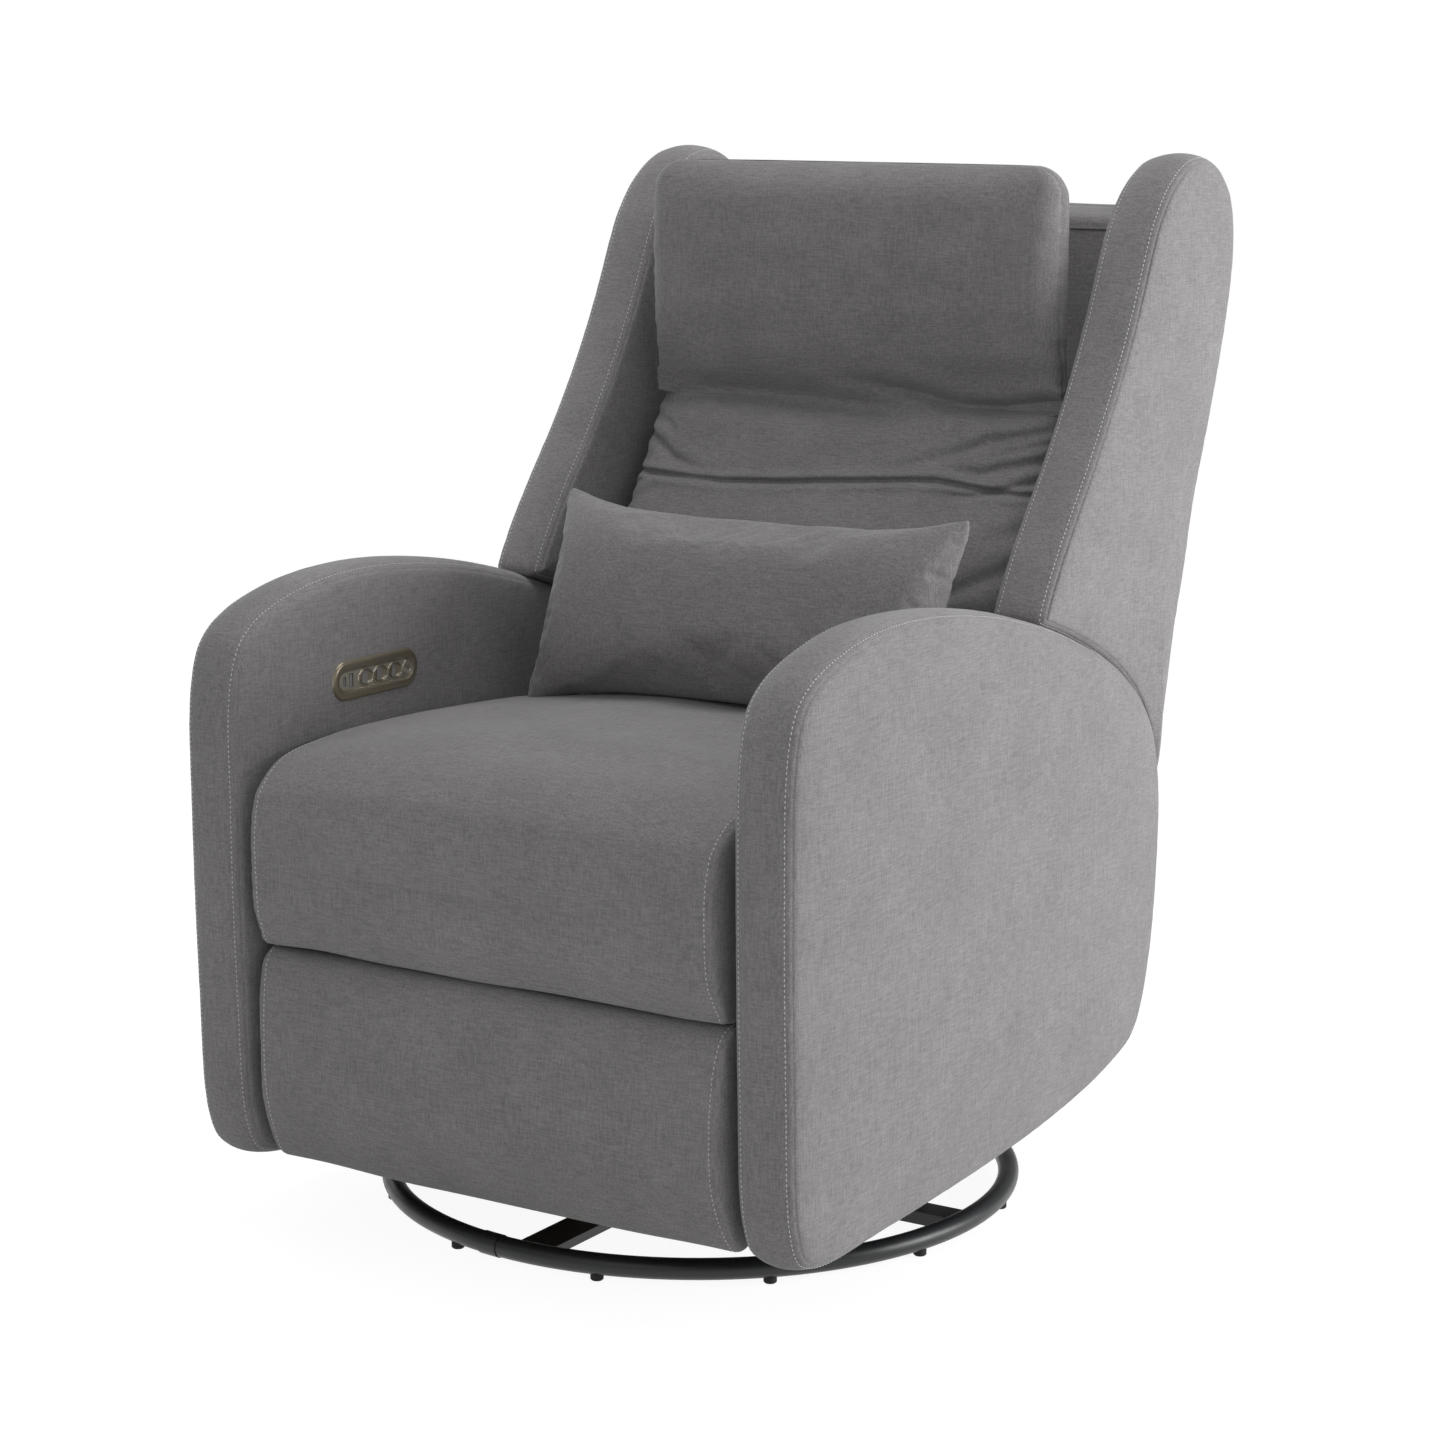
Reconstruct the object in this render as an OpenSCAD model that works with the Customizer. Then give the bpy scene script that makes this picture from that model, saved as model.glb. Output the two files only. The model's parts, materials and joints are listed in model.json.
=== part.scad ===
// Power reclining glider chair on a round swivel base, with wings, a tilting
// headrest, a loose lumbar pillow and a footrest that folds out.
// Millimetres, +Z up. The sitter faces -Y, and their left arm is at +X.
// The origin is on the floor, at the middle of the chair's outer box.

/* [Base] */
// Radius of the base ring, to the middle of its tube
ring_r = 320; // [305:1:335]
// Outer diameter of the ring's tube
ring_tube = 21.2; // [19:0.2:23]
// Wall of the ring's tube
ring_wall = 2; // [1.5:0.1:3]
// Clear height under the ring's tube
foot_h = 5.4; // [4.5:0.1:6.4]
// Diameter of a foot
foot_d = 13; // [12:0.5:15]
// Number of feet under the ring
foot_count = 12; // [8:1:14]
// Width of a base bar
bar_w = 40; // [36:1:46]
// Height of a base bar
bar_h = 9; // [8:0.5:10]
// Wall of a base bar
bar_wall = 2.5; // [2:0.1:3]
// Place of the swivel axis along Y
swivel_y = -69; // [-72:1:-66]

/* [Swivel bearing] */
// Side of the square bearing plates
plate_w = 190; // [180:2:200]
// Thickness of a bearing plate
plate_t = 3; // [2.5:0.1:3.5]
// Radius of the ball race
race_r = 70; // [60:1:76]
// Diameter of a bearing ball
ball_d = 8; // [7:0.1:8.5]
// Number of bearing balls
ball_count = 16; // [10:1:18]
// Diameter of the king pin
king_pin_d = 16; // [12:1:18]

/* [Glide] */
// Distance between the pivots of a glide link
glide_link = 100; // [96:1:103]
// Distance between the front and the rear glide links
glide_pitch = 240; // [234:1:244]
// Height of the glide links' lower pivots
glide_low_z = 65; // [63:1:68]
// Thickness of the steel plates and links
steel_t = 4; // [3.6:0.1:4.2]
// Distance between the inner faces of two plates that lie side by side
layer = 5; // [4.8:0.1:5.2]
// Diameter of a pivot pin
pin_d = 10; // [8:0.5:11]
// Running clearance on the radius of a pivot
running = 0.08; // [0.05:0.01:0.1]
// Width of a link
link_w = 18; // [16:0.5:18]

/* [Arms] */
// Distance from the seat cushion's side to the arm's inner seam
arm_gap = 19; // [18.5:0.5:24]
// Thickness of an arm between its seams
arm_t = 62; // [56:1:68]
// Height of the arm's top seam
arm_top = 637; // [625:1:645]
// Height of the arm's lowest seam
arm_low = 76; // [72:1:80]
// Front of the arm's seam along Y
arm_front = -453; // [-456:1:-448]
// Rear of the arm's seam along Y
arm_rear = 284; // [280:1:288]
// Crown of the arm's band between its seams
arm_crown = 7; // [5:0.5:8]
// Swell of the arm's sides
arm_swell = 7; // [5:0.5:8]

/* [Seat] */
// Half of the seat cushion's width
seat_half = 266; // [240:0.5:290]
// Front of the seat cushion along Y
seat_front = -461; // [-464:1:-458]
// Rear of the seat cushion along Y
seat_rear = 2; // [-6:1:8]
// Height of the seat cushion's side edges
seat_top = 489; // [480:1:494]
// Underside of the seat cushion's front roll
seat_roll_low = 294; // [293:1:297]
// Crown of the seat cushion across its width
seat_crown = 12; // [8:1:14]
// Height of the seat frame's underside
frame_low = 310; // [308:1:312]
// Thickness of the wooden rails
rail_t = 22; // [18:1:24]
// Height of the wooden seat rails
rail_h = 60; // [56:1:62]
// Thickness of the seat's webbing
webbing_t = 2; // [1.5:0.1:3]

/* [Footrest] */
// How far the footrest's pad reaches past the seat cushion's side
footrest_past = 5; // [0:0.5:5.5]
// Underside of the footrest's pad
footrest_low = 74; // [72:1:78]
// Top of the footrest's pad
footrest_top = 290; // [286:1:290]
// Thickness of the footrest's padding
footrest_pad_t = 62; // [56:1:63]
// Thickness of the footrest's board
board_t = 12; // [10:0.5:14]
// Place of the front links' fixed pivot along Y
link_pivot_y = -344; // [-346:0.5:-342]
// Height of the front links' fixed pivot
link_pivot_z = 231; // [229:0.5:233]
// Distance between the pivots of a front link
front_link = 170; // [168:0.5:171]
// Angle of a folded front link, from forwards
front_link_angle = -116; // [-117:0.5:-115]
// Swing of the front links as the footrest opens
footrest_swing = 107; // [104:0.5:108]
// Distance between the front and rear links' pivots
link_spread = 50; // [48:0.5:54]
// Distance between the main pivots of a long link
long_link = 157; // [155:0.5:158]
// Angle of a long link, from forwards
long_link_angle = 60; // [59:0.5:61]
// Free clearance on the radius of an open pivot
open_pivot = 2.6; // [2.4:0.1:3]

/* [Back] */
// Tilt of the back from upright
back_tilt = 16.3; // [15.8:0.1:16.8]
// Place of the recline pivot along Y
recline_y = 161; // [159:1:163]
// Height of the recline pivot
recline_z = 330; // [328:1:332]
// Length of the outer back panel, along the back
outer_back_h = 612; // [600:1:620]
// Thickness of the outer back panel
outer_back_t = 28; // [24:1:30]
// Depth of the back frame's stiles
stile_d = 40; // [34:1:42]
// Top of the wings' seam above the floor
wing_top = 1040; // [1030:1:1050]
// Distance from the seat cushion's side to the wing's inner seam
wing_past = 9; // [8:0.5:12]
// Thickness of a wing between its seams
wing_t = 61; // [56:1:66]
// Gap between a wing and the arm under it
wing_gap = 5.5; // [4:0.5:8]
// Crown of the wing's band between its seams
wing_crown = 4; // [3:0.5:5]

/* [Cushions] */
// How far the back cushion's side lies inside the seat cushion's
back_inset = 16; // [8:1:24]
// Foremost line of the back cushion along Y, at its sides
back_front_y = 66; // [60:1:80]
// Top of the back cushion
back_cushion_top = 781; // [774:1:782]
// How far the head cushion's side lies inside the seat cushion's
head_inset = 15; // [8:1:24]
// Height of the head cushion
head_h = 231; // [220:1:239]
// Thickness of the head cushion at its sides
head_t_side = 38; // [34:1:40]
// Width of the pillow between its corners
pillow_w = 476; // [440:2:490]
// Height of the pillow between its corners
pillow_h = 230; // [215:1:236]
// Thickness of the pillow in its middle
pillow_t = 102; // [96:1:114]

/* [Headrest] */
// Place of the headrest's pivot along Y
head_pivot_y = 250; // [248:1:252]
// Height of the headrest's pivot
head_pivot_z = 795; // [794:1:797]
// Diameter of the headrest's pivot rod
head_rod_d = 12; // [10:0.5:14]

/* [Control panel] */
// Length of the panel's bezel
panel_l = 136; // [130:1:142]
// Height of the panel's bezel
panel_h = 38; // [36:0.5:41]
// Width of the bezel's rim
panel_rim = 10; // [8:0.5:11]
// Place of the panel's middle along Y
panel_y = -247; // [-252:1:-242]
// Height of the panel's middle
panel_z = 533; // [528:1:536]
// Spacing of the panel's square buttons
button_pitch = 23.5; // [22.5:0.5:25]
// Length of a square button
button_l = 20.5; // [18:0.5:21]
// Height of a square button
button_h = 15; // [13:0.5:15.5]
// Diameter of the round button
home_d = 13; // [11:0.5:13.5]
// Travel of a button
button_travel = 1.5; // [1:0.1:1.8]

/* [Hidden] */
$fn = 48;

// Heights of the base, from the floor up.
ring_z = foot_h + ring_tube / 2;
bar_top = foot_h + bar_h;
race_low = bar_top + plate_t;
race_high = race_low + ball_d;
carriage_z = race_high + plate_t;
cross_bar_w = 40;
cross_bar_h = 20;
cross_bar_y = plate_w / 2 - cross_bar_w / 2 - 4;

// Layers of the steelwork, outwards from the middle of the chair: each is the
// inner face of a plate, and the arm's board lies on the outermost plate.
board_x = seat_half + 1;
plate_x = board_x - steel_t;
layer_a = plate_x - layer;
layer_b = layer_a - layer;
layer_c = layer_b - layer;
head_t = 3.4;
fixed = 0.02;

// Pivots of the glide. The seat hangs midway over the swivel axis.
glide_front_y = swivel_y - glide_pitch / 2;
glide_rear_y = swivel_y + glide_pitch / 2;
glide_top_z = glide_low_z + glide_link;

// Pivots of the folded footrest in the (Y, Z) plane. Angles run from forwards
// (-Y) upwards, as on the chair's left side.
function polar(l, a) = [-l * cos(a), l * sin(a)];
spread_angle = 207.5;
foot_a = [link_pivot_y, link_pivot_z];
foot_j = foot_a + polar(front_link, front_link_angle);
foot_k = foot_j + polar(long_link, long_link_angle);
foot_b = foot_a + polar(link_spread, spread_angle);
foot_p = foot_j + polar(link_spread, spread_angle);
foot_q = foot_j + polar(34, front_link_angle + 33);
foot_r = foot_k + polar(39, -74.5);
board_back = -380;
board_front = board_back - board_t;
footrest_half = seat_half + footrest_past;
lever = 50;
lever_angle = 90 - footrest_swing / 2;
lever_pin = foot_b + polar(lever, lever_angle);
lever_pin_d = 8;

// Seat frame.
frame_front = -362;
frame_rear = 100;
frame_top = frame_low + rail_h;
cushion_low = frame_top + webbing_t + 0.8;
cross_tube_d = 20;
cross_tube_z = frame_low - cross_tube_d / 2;
cross_tube_y = [-230, 70];
panel_front_y = 221.7;
bolt_z = 296;
bolt_y = [-290, -60, 120];
bolt_d = 8;
board_y = [-386, 220];
board_z = [150, 460];
seam_in = seat_half + arm_gap;
seam_out = seam_in + arm_t;
soft = 0.3;

// Back frame. Its own axes start at the rear surface, a way above the arms'
// lowest point, and tilt with the back.
back_origin = [295, 400];
back_half = seat_half - back_inset;
wing_in = seat_half + wing_past;
wing_out = wing_in + wing_t;
stile_x = layer_a - rail_t;

// Control panel: the arm's padded side stands at panel_x.
panel_x = seam_in - arm_swell + 1;
bezel_front = panel_x - 4.5;
face_front = bezel_front + 2;
face_t = 3;
switch_x = panel_x + 6;
slot_l = panel_l - 2 * panel_rim - 8;
slot_h = panel_h - 2 * panel_rim;
first_button_y = panel_y - 16;

// Cloth and metal colours.
cloth = [0.42, 0.42, 0.43];
cloth_dark = [0.35, 0.35, 0.36];
black = [0.06, 0.06, 0.065];
steel = [0.55, 0.56, 0.57];
wood = [0.76, 0.62, 0.44];
bronze = [0.62, 0.56, 0.47];

// ---------------------------------------------------------------- helpers

// Draws a (Y, Z) outline as a plate from x outwards along +X.
module side_plate(x, t) {
    translate([x, 0, 0]) rotate([90, 0, 90]) linear_extrude(t) children();
}

// A round bar along +X through the point p of the (Y, Z) plane.
module bar_x(p, x, l, r) {
    translate([x, p[0], p[1]]) rotate([0, 90, 0]) cylinder(r = r, h = l);
}

// A disc of an outline at the point p.
module disc(p, r) {
    translate(p) circle(r);
}

// The outline of a link with round ends at p and q.
module link_shape(p, q, w) {
    d = q - p;
    disc(p, w / 2);
    disc(q, w / 2);
    translate(p) rotate(atan2(d[1], d[0])) translate([0, -w / 2]) square([norm(d), w]);
}

// The same piece on both sides of the chair.
module both_sides() {
    children();
    mirror([1, 0, 0]) children();
}

// A stud on the inner face of a link, with its head two layers further in.
module stud(p, x) {
    slack = 0.1;
    bar_x(p, x - layer - slack, layer + slack, pin_d / 2);
    bar_x(p, x - layer - slack - head_t, head_t, pin_d / 2 + 3);
}

// Smooths a closed outline by adding a point on the curve between each two.
function smooth(p) = let (n = len(p)) [
    for (i = [0:n - 1]) each [
        p[i],
        (9 * (p[i] + p[(i + 1) % n]) - p[(i + n - 1) % n] - p[(i + 2) % n]) / 16
    ]
];

// Moves a closed outline that runs front, top, rear, bottom outwards by d.
function grow(p, d) = let (n = len(p)) [
    for (i = [0:n - 1])
        let (t = p[(i + 1) % n] - p[(i + n - 1) % n])
        p[i] + d * [-t[1], t[0]] / norm(t)
];

// Places an outline given in shares of a box that starts at low.
function in_box(p, low, size) = [for (q = p) [low[0] + q[0] * size[0], low[1] + q[1] * size[1]]];

// One ring of a pad. A station is [x, outwards, scale, crown]: the outline is
// moved outwards, scaled about the middle, and swollen along the crown's way.
function pad_ring(outline, middle, way, s) = [
    for (q = grow(outline, s[1]))
        let (
            d = (q - middle) * s[2],
            rise = max(0, d * way) * s[3],
            r = middle + d + way * rise
        )
        [s[0], r[0], r[1]]
];

// A padded piece: rings along X, each end closed by a fan round its middle.
module pad(outline, middle, way, stations) {
    n = len(outline);
    m = len(stations);
    rings = [for (s = stations) each pad_ring(outline, middle, way, s)];
    ends = [for (s = [stations[0], stations[m - 1]]) [s[0], middle[0], middle[1]]];
    side = [
        for (j = [0:m - 2]) for (i = [0:n - 1])
            let (a = j * n + i, b = j * n + (i + 1) % n)
            each [[a, b, b + n], [a, b + n, a + n]]
    ];
    first = [for (i = [0:n - 1]) [m * n, (i + 1) % n, i]];
    last = [for (i = [0:n - 1]) [m * n + 1, (m - 1) * n + i, (m - 1) * n + (i + 1) % n]];
    polyhedron(concat(rings, ends), concat(side, first, last));
}

// Stations of a pad between two seams, with a crowned band between them and
// swollen sides beyond them.
function seamed(x0, x1, band, swell) = [
    [x0 - swell, -2, 0.42, 0], [x0 - 0.7 * swell, -1, 0.78, 0], [x0, 0, 1, 0],
    [x0 + 0.14 * (x1 - x0), 0.62 * band, 1, 0], [x0 + 0.5 * (x1 - x0), band, 1, 0],
    [x1 - 0.14 * (x1 - x0), 0.62 * band, 1, 0], [x1, 0, 1, 0],
    [x1 + 0.7 * swell, -1, 0.78, 0], [x1 + swell, -2, 0.42, 0]
];

// How far the end of a cushion has drawn in at a share t of its half width.
function drawn_in(t) = 1 - sqrt(max(0, 1 - pow(abs(t), 24)));

// Stations of a cushion from -half to half. Its ends draw in by round and
// shrink by a share, and its crown falls off towards them.
function cushioned(half, round, share, crown) = [
    for (t = [-1, -0.985, -0.93, -0.78, -0.45, 0, 0.45, 0.78, 0.93, 0.985, 1])
        [t * half, -round * drawn_in(t), 1 - share * drawn_in(t), crown * (1 - t * t)]
];

// ------------------------------------------------------------------- base

// The solid round bar that the ring's tube is bent from.
module ring_bar(r) {
    translate([0, swivel_y, ring_z]) rotate_extrude($fn = 96) translate([ring_r, 0]) circle(r);
}

// Bent steel tube that the chair stands on.
module base_ring() {
    color(black) difference() {
        ring_bar(ring_tube / 2);
        ring_bar(ring_tube / 2 - ring_wall);
    }
}

// Short sleeve over the joint of the ring's tube, beside the front bar.
module ring_sleeve() {
    color(black) translate([0, swivel_y, ring_z]) rotate([0, 0, -98])
        rotate_extrude(angle = 4, $fn = 96) translate([ring_r, 0]) difference() {
            circle(ring_tube / 2 + 0.8);
            circle(ring_tube / 2 + fixed);
        }
}

// Rubber feet, saddled to the ring's tube.
module ring_feet() {
    bevel = 1.2;
    color(black) difference() {
        for (i = [0:foot_count - 1])
            translate([0, swivel_y, 0]) rotate([0, 0, 15 + i * 360 / foot_count])
                translate([ring_r, 0, 0]) {
                    cylinder(r1 = foot_d / 2 - bevel, r2 = foot_d / 2, h = bevel);
                    translate([0, 0, bevel]) cylinder(d = foot_d, h = foot_h + 2 - bevel);
                }
        ring_bar(ring_tube / 2);
    }
}

// A pressed channel, open below, along +X from x0 to x1.
module bar_channel(x0, x1) {
    difference() {
        translate([x0, -bar_w / 2, foot_h]) cube([x1 - x0, bar_w, bar_h]);
        translate([x0 - 1, -bar_w / 2 + bar_wall, foot_h - 1])
            cube([x1 - x0 + 2, bar_w - 2 * bar_wall, bar_h - bar_wall + 1]);
    }
}

bar_end = ring_r - 0.55 * ring_tube / 2;

// Channel from the front of the ring to its rear, with the king pin's hole.
module base_bar_long() {
    color(black) difference() {
        translate([0, swivel_y, 0]) rotate([0, 0, 90]) bar_channel(-bar_end, bar_end);
        ring_bar(ring_tube / 2);
        translate([0, swivel_y, 0]) cylinder(d = king_pin_d + 2 * fixed, h = 2 * bar_top);
    }
}

// Channels from the long bar to the sides of the ring, each with a folded lip.
module base_bars_side() {
    lip = 4;
    color(black) difference() {
        translate([0, swivel_y, 0]) both_sides() {
            bar_channel(bar_w / 2, bar_end);
            translate([ring_r - 64, -bar_w / 2, bar_top]) cube([44, bar_wall, lip]);
        }
        ring_bar(ring_tube / 2);
    }
}

// ---------------------------------------------------------------- bearing

// A square plate with cut corners and a hole for the king pin.
module bearing_plate(z, clearance) {
    translate([0, swivel_y, z]) linear_extrude(plate_t) difference() {
        intersection() {
            square(plate_w, center = true);
            rotate(45) square(1.24 * plate_w, center = true);
        }
        circle(king_pin_d / 2 + clearance);
    }
}

module swivel_lower_plate() {
    color(steel) bearing_plate(bar_top, fixed);
}

module swivel_upper_plate() {
    color(steel) bearing_plate(race_high, running);
}

// Headed pin that holds the two plates and the long bar together.
module king_pin() {
    head = 3.4;
    low = bar_top - bar_wall - head;
    color(steel) translate([0, swivel_y, 0]) {
        translate([0, 0, low]) cylinder(d = king_pin_d + 12, h = head);
        translate([0, 0, low]) cylinder(d = king_pin_d, h = carriage_z + 0.1 + head - low);
        translate([0, 0, carriage_z + 0.1]) cylinder(d = king_pin_d + 12, h = head);
    }
}

module race_places() {
    translate([0, swivel_y, race_low + ball_d / 2])
        for (i = [0:ball_count - 1]) rotate([0, 0, i * 360 / ball_count])
            translate([race_r, 0, 0]) children();
}

module bearing_balls() {
    color(steel) race_places() sphere(d = ball_d - 2 * running, $fn = 32);
}

// Flat ring that keeps the balls apart.
module ball_cage() {
    cage_t = 2;
    cage_w = 16;
    color(bronze) difference() {
        translate([0, swivel_y, race_low + ball_d / 2 - cage_t / 2]) linear_extrude(cage_t)
            difference() {
                circle(race_r + cage_w / 2);
                circle(race_r - cage_w / 2);
            }
        race_places() translate([0, 0, -cage_t]) cylinder(d = ball_d + 0.1, h = 2 * cage_t);
    }
}

// --------------------------------------------------------------- carriage

// Square tubes across the upper plate that carry the glide's rails.
module glide_cross_bars() {
    wall = 2.5;
    color(black) for (s = [-1, 1])
        translate([-layer_b, swivel_y + s * cross_bar_y - cross_bar_w / 2, carriage_z]) difference() {
            cube([2 * layer_b, cross_bar_w, cross_bar_h]);
            translate([-1, wall, wall])
                cube([2 * layer_b + 2, cross_bar_w - 2 * wall, cross_bar_h - 2 * wall]);
        }
}

// Upright plates on the cross bars' ends, with the glide's upper pivots.
module glide_rails() {
    foot_half = 71;
    boss = 13;
    top = glide_top_z + boss;
    color(black) both_sides() side_plate(layer_b, steel_t) difference() {
        union() {
            polygon([
                [swivel_y - foot_half, carriage_z], [swivel_y + foot_half, carriage_z],
                [glide_rear_y + boss, glide_top_z], [glide_rear_y, top],
                [glide_front_y, top], [glide_front_y - boss, glide_top_z]
            ]);
            disc([glide_front_y, glide_top_z], boss);
            disc([glide_rear_y, glide_top_z], boss);
        }
        disc([glide_front_y, glide_top_z], pin_d / 2 + fixed);
        disc([glide_rear_y, glide_top_z], pin_d / 2 + fixed);
        disc([swivel_y, 112], 42);
    }
}

// Headed pins, fixed in the rails, that the links hang on.
module glide_upper_pins() {
    color(steel) both_sides() for (y = [glide_front_y, glide_rear_y]) {
        bar_x([y, glide_top_z], layer_b - head_t, head_t, pin_d / 2 + 3);
        bar_x([y, glide_top_z], layer_b - head_t, 2 * steel_t + 1 + head_t, pin_d / 2);
    }
}

// A pair of links that hang at y.
module glide_links(y) {
    top = [y, glide_top_z];
    low = [y, glide_low_z];
    color(black) both_sides() side_plate(layer_a, steel_t) difference() {
        link_shape(low, top, link_w + 4);
        disc(top, pin_d / 2 + running);
        disc(low, pin_d / 2 + running);
    }
}

module glide_front_links() {
    glide_links(glide_front_y);
}

module glide_rear_links() {
    glide_links(glide_rear_y);
}

// ------------------------------------------------------------ side plates

// Outline of a mechanism plate without its holes.
module mechanism_outline() {
    beam_low = 281;
    beam_top = 345;
    boss = 13;
    polygon([
        [frame_front, foot_b[1] + 12], [foot_b[0] - 6, foot_b[1] - 13],
        [foot_b[0] + 14, foot_b[1] - 6], [foot_b[0] + 20, beam_low],
        [recline_y - 10, beam_low], [recline_y + 19, recline_z], [recline_y, beam_top],
        [frame_front, beam_top]
    ]);
    disc([recline_y, recline_z], 19);
    for (y = [glide_front_y, glide_rear_y]) {
        disc([y, glide_low_z], boss);
        polygon([
            [y - boss, glide_low_z], [y + boss, glide_low_z],
            [y + 45, beam_low + 4], [y - 45, beam_low + 4]
        ]);
    }
}

// Steel side plates: the seat's frame, the arms, the back and the footrest's
// links all hang on them.
module mechanism_plates() {
    color(black) both_sides() side_plate(plate_x, steel_t) difference() {
        mechanism_outline();
        for (p = [foot_a, foot_b, [recline_y, recline_z]]) disc(p, pin_d / 2 + fixed);
        for (y = [glide_front_y, glide_rear_y]) disc([y, glide_low_z], pin_d / 2 + fixed);
        for (y = bolt_y) disc([y, bolt_z], bolt_d / 2 + fixed);
    }
}

// Headed pins fixed in the side plates.
module mechanism_pins() {
    pin_head = 2.2;
    points = [
        foot_a, foot_b, [glide_front_y, glide_low_z], [glide_rear_y, glide_low_z],
        [recline_y, recline_z]
    ];
    color(steel) both_sides() for (p = points) {
        bar_x(p, layer_a, board_x - layer_a + pin_head, pin_d / 2);
        bar_x(p, board_x, pin_head, pin_d / 2 + 3);
    }
}

// Round tubes that hold the side plates apart.
module cross_tubes() {
    wall = 2;
    color(black) for (y = cross_tube_y) difference() {
        bar_x([y, cross_tube_z], -plate_x, 2 * plate_x, cross_tube_d / 2);
        bar_x([y, cross_tube_z], -plate_x - 1, 2 * plate_x + 2, cross_tube_d / 2 - wall);
    }
}

// ------------------------------------------------------------- seat frame

// Front and rear wooden rails of the seat.
module seat_rails_cross() {
    long = 2 * (plate_x - rail_t);
    color(wood) for (y = [frame_front, frame_rear - rail_t])
        translate([-long / 2, y, frame_low]) cube([long, rail_t, rail_h]);
}

// Side rails, on the inner faces of the side plates.
module seat_rails_side() {
    color(wood) both_sides() translate([plate_x - rail_t, frame_front, frame_low])
        cube([rail_t, frame_rear - frame_front, rail_h]);
}

// Elastic webbing stretched from the front rail to the rear rail.
module seat_webbing() {
    strap_w = 55;
    straps = 5;
    pitch = 92;
    color(black) for (i = [0:straps - 1])
        translate([(i - (straps - 1) / 2) * pitch - strap_w / 2, frame_front, frame_top])
            cube([strap_w, frame_rear - frame_front, webbing_t]);
}

// Plywood boards inside the arms, bolted to the side plates.
module arm_boards() {
    color(wood) both_sides() difference() {
        side_plate(board_x, seam_in - board_x) polygon([
            [board_y[0], board_z[0] + 60], [board_y[0] + 60, board_z[0]],
            [board_y[1] - 60, board_z[0]], [board_y[1], board_z[0] + 60],
            [board_y[1], board_z[1] - 10], [board_y[1] - 90, board_z[1]],
            [board_y[0], board_z[1]]
        ]);
        for (p = [foot_a, foot_b, [recline_y, recline_z]])
            bar_x(p, board_x - 1, 4, pin_d / 2 + 4);
        for (y = bolt_y) bar_x([y, bolt_z], board_x - 1, seam_in, bolt_d / 2 + fixed);
    }
}

// Bolts from the side plates into the arms' boards.
module arm_bolts() {
    bolt_head = 5;
    color(steel) both_sides() for (y = bolt_y) {
        bar_x([y, bolt_z], plate_x - bolt_head, bolt_head, bolt_d / 2 + 3);
        bar_x([y, bolt_z], plate_x - bolt_head, seam_in - plate_x + bolt_head, bolt_d / 2);
    }
}

// ------------------------------------------------------------------- arms

// The arm's seam from the side, in shares of its length and height.
arm_shares = [
    [0.073, 0], [0.016, 0.07], [0.004, 0.31], [0, 0.631], [0.005, 0.836], [0.043, 0.934],
    [0.155, 0.986], [0.29, 1], [0.453, 0.98], [0.602, 0.939], [0.752, 0.877], [0.881, 0.799],
    [0.966, 0.702], [0.999, 0.578], [1, 0.417], [0.982, 0.248], [0.942, 0.123],
    [0.867, 0.075], [0.725, 0.039], [0.521, 0.014], [0.25, 0]
];
arm_seam = smooth(in_box(
    arm_shares, [arm_front, arm_low], [arm_rear - arm_front, arm_top - arm_low]
));
arm_middle = [arm_front + 0.5 * (arm_rear - arm_front), arm_low + 0.48 * (arm_top - arm_low)];

// The padded left arm, hollowed for its board.
module arm_shape() {
    difference() {
        pad(arm_seam, arm_middle, [0, 1], seamed(seam_in, seam_out, arm_crown, arm_swell));
        translate([board_x, board_y[0] - soft, board_z[0] - soft])
            cube([
                seam_in - board_x + soft, board_y[1] - board_y[0] + 2 * soft,
                board_z[1] - board_z[0] + 2 * soft
            ]);
    }
}

module arm_left() {
    color(cloth) arm_shape();
}

// The right arm, which also holds the control panel.
module arm_right() {
    color(cloth) difference() {
        mirror([1, 0, 0]) arm_shape();
        mirror([1, 0, 0]) side_plate(bezel_front, switch_x - bezel_front + 0.1)
            stadium(panel_l + 2 * soft, panel_h + 2 * soft);
        mirror([1, 0, 0]) side_plate(switch_x - 1, switch_depth + 1 + soft)
            stadium(slot_l + 2 * soft, slot_h + 2 * soft);
    }
}

// Padded panel that closes the chair behind the seat.
module rear_panel() {
    front = panel_front_y + soft;
    rear = front + 18;
    top = recline_z - 2;
    outline = smooth([
        [front, 112], [front, 160], [front, 240], [front, 310], [front + 2, top - 4],
        [front + 9, top], [rear - 2, top - 4], [rear, top - 18], [rear, 250], [rear, 190],
        [rear - 3, 130], [rear - 9, 108], [front + 3, 106]
    ]);
    color(cloth) pad(outline, [front + 9, 220], [1, 0], cushioned(layer_a - 3, 4, 0, 0));
}

// Battens from the seat's rear rail to the rear panel.
module rear_battens() {
    batten_h = 14;
    batten_x = 150;
    color(wood) both_sides() translate([batten_x, frame_rear, frame_low + 2])
        cube([rail_t, panel_front_y - frame_rear, batten_h]);
}

// ---------------------------------------------------------- control panel

switch_depth = 24;

// A (Y, Z) shape with round ends round the panel's middle.
module stadium(l, h) {
    translate([panel_y, panel_z]) {
        square([l - h, h], center = true);
        for (s = [-1, 1]) translate([s * (l - h) / 2, 0]) circle(d = h);
    }
}

// A square button with cut corners, grown all round by a clearance.
module button_shape(i, clearance) {
    cut = 4;
    l = button_l / 2 + clearance;
    h = button_h / 2 + clearance;
    translate([first_button_y + i * button_pitch, panel_z]) polygon([
        [-l, -h + cut], [-l + cut, -h], [l - cut, -h], [l, -h + cut],
        [l, h - cut], [l - cut, h], [-l + cut, h], [-l, h - cut]
    ]);
}

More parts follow.
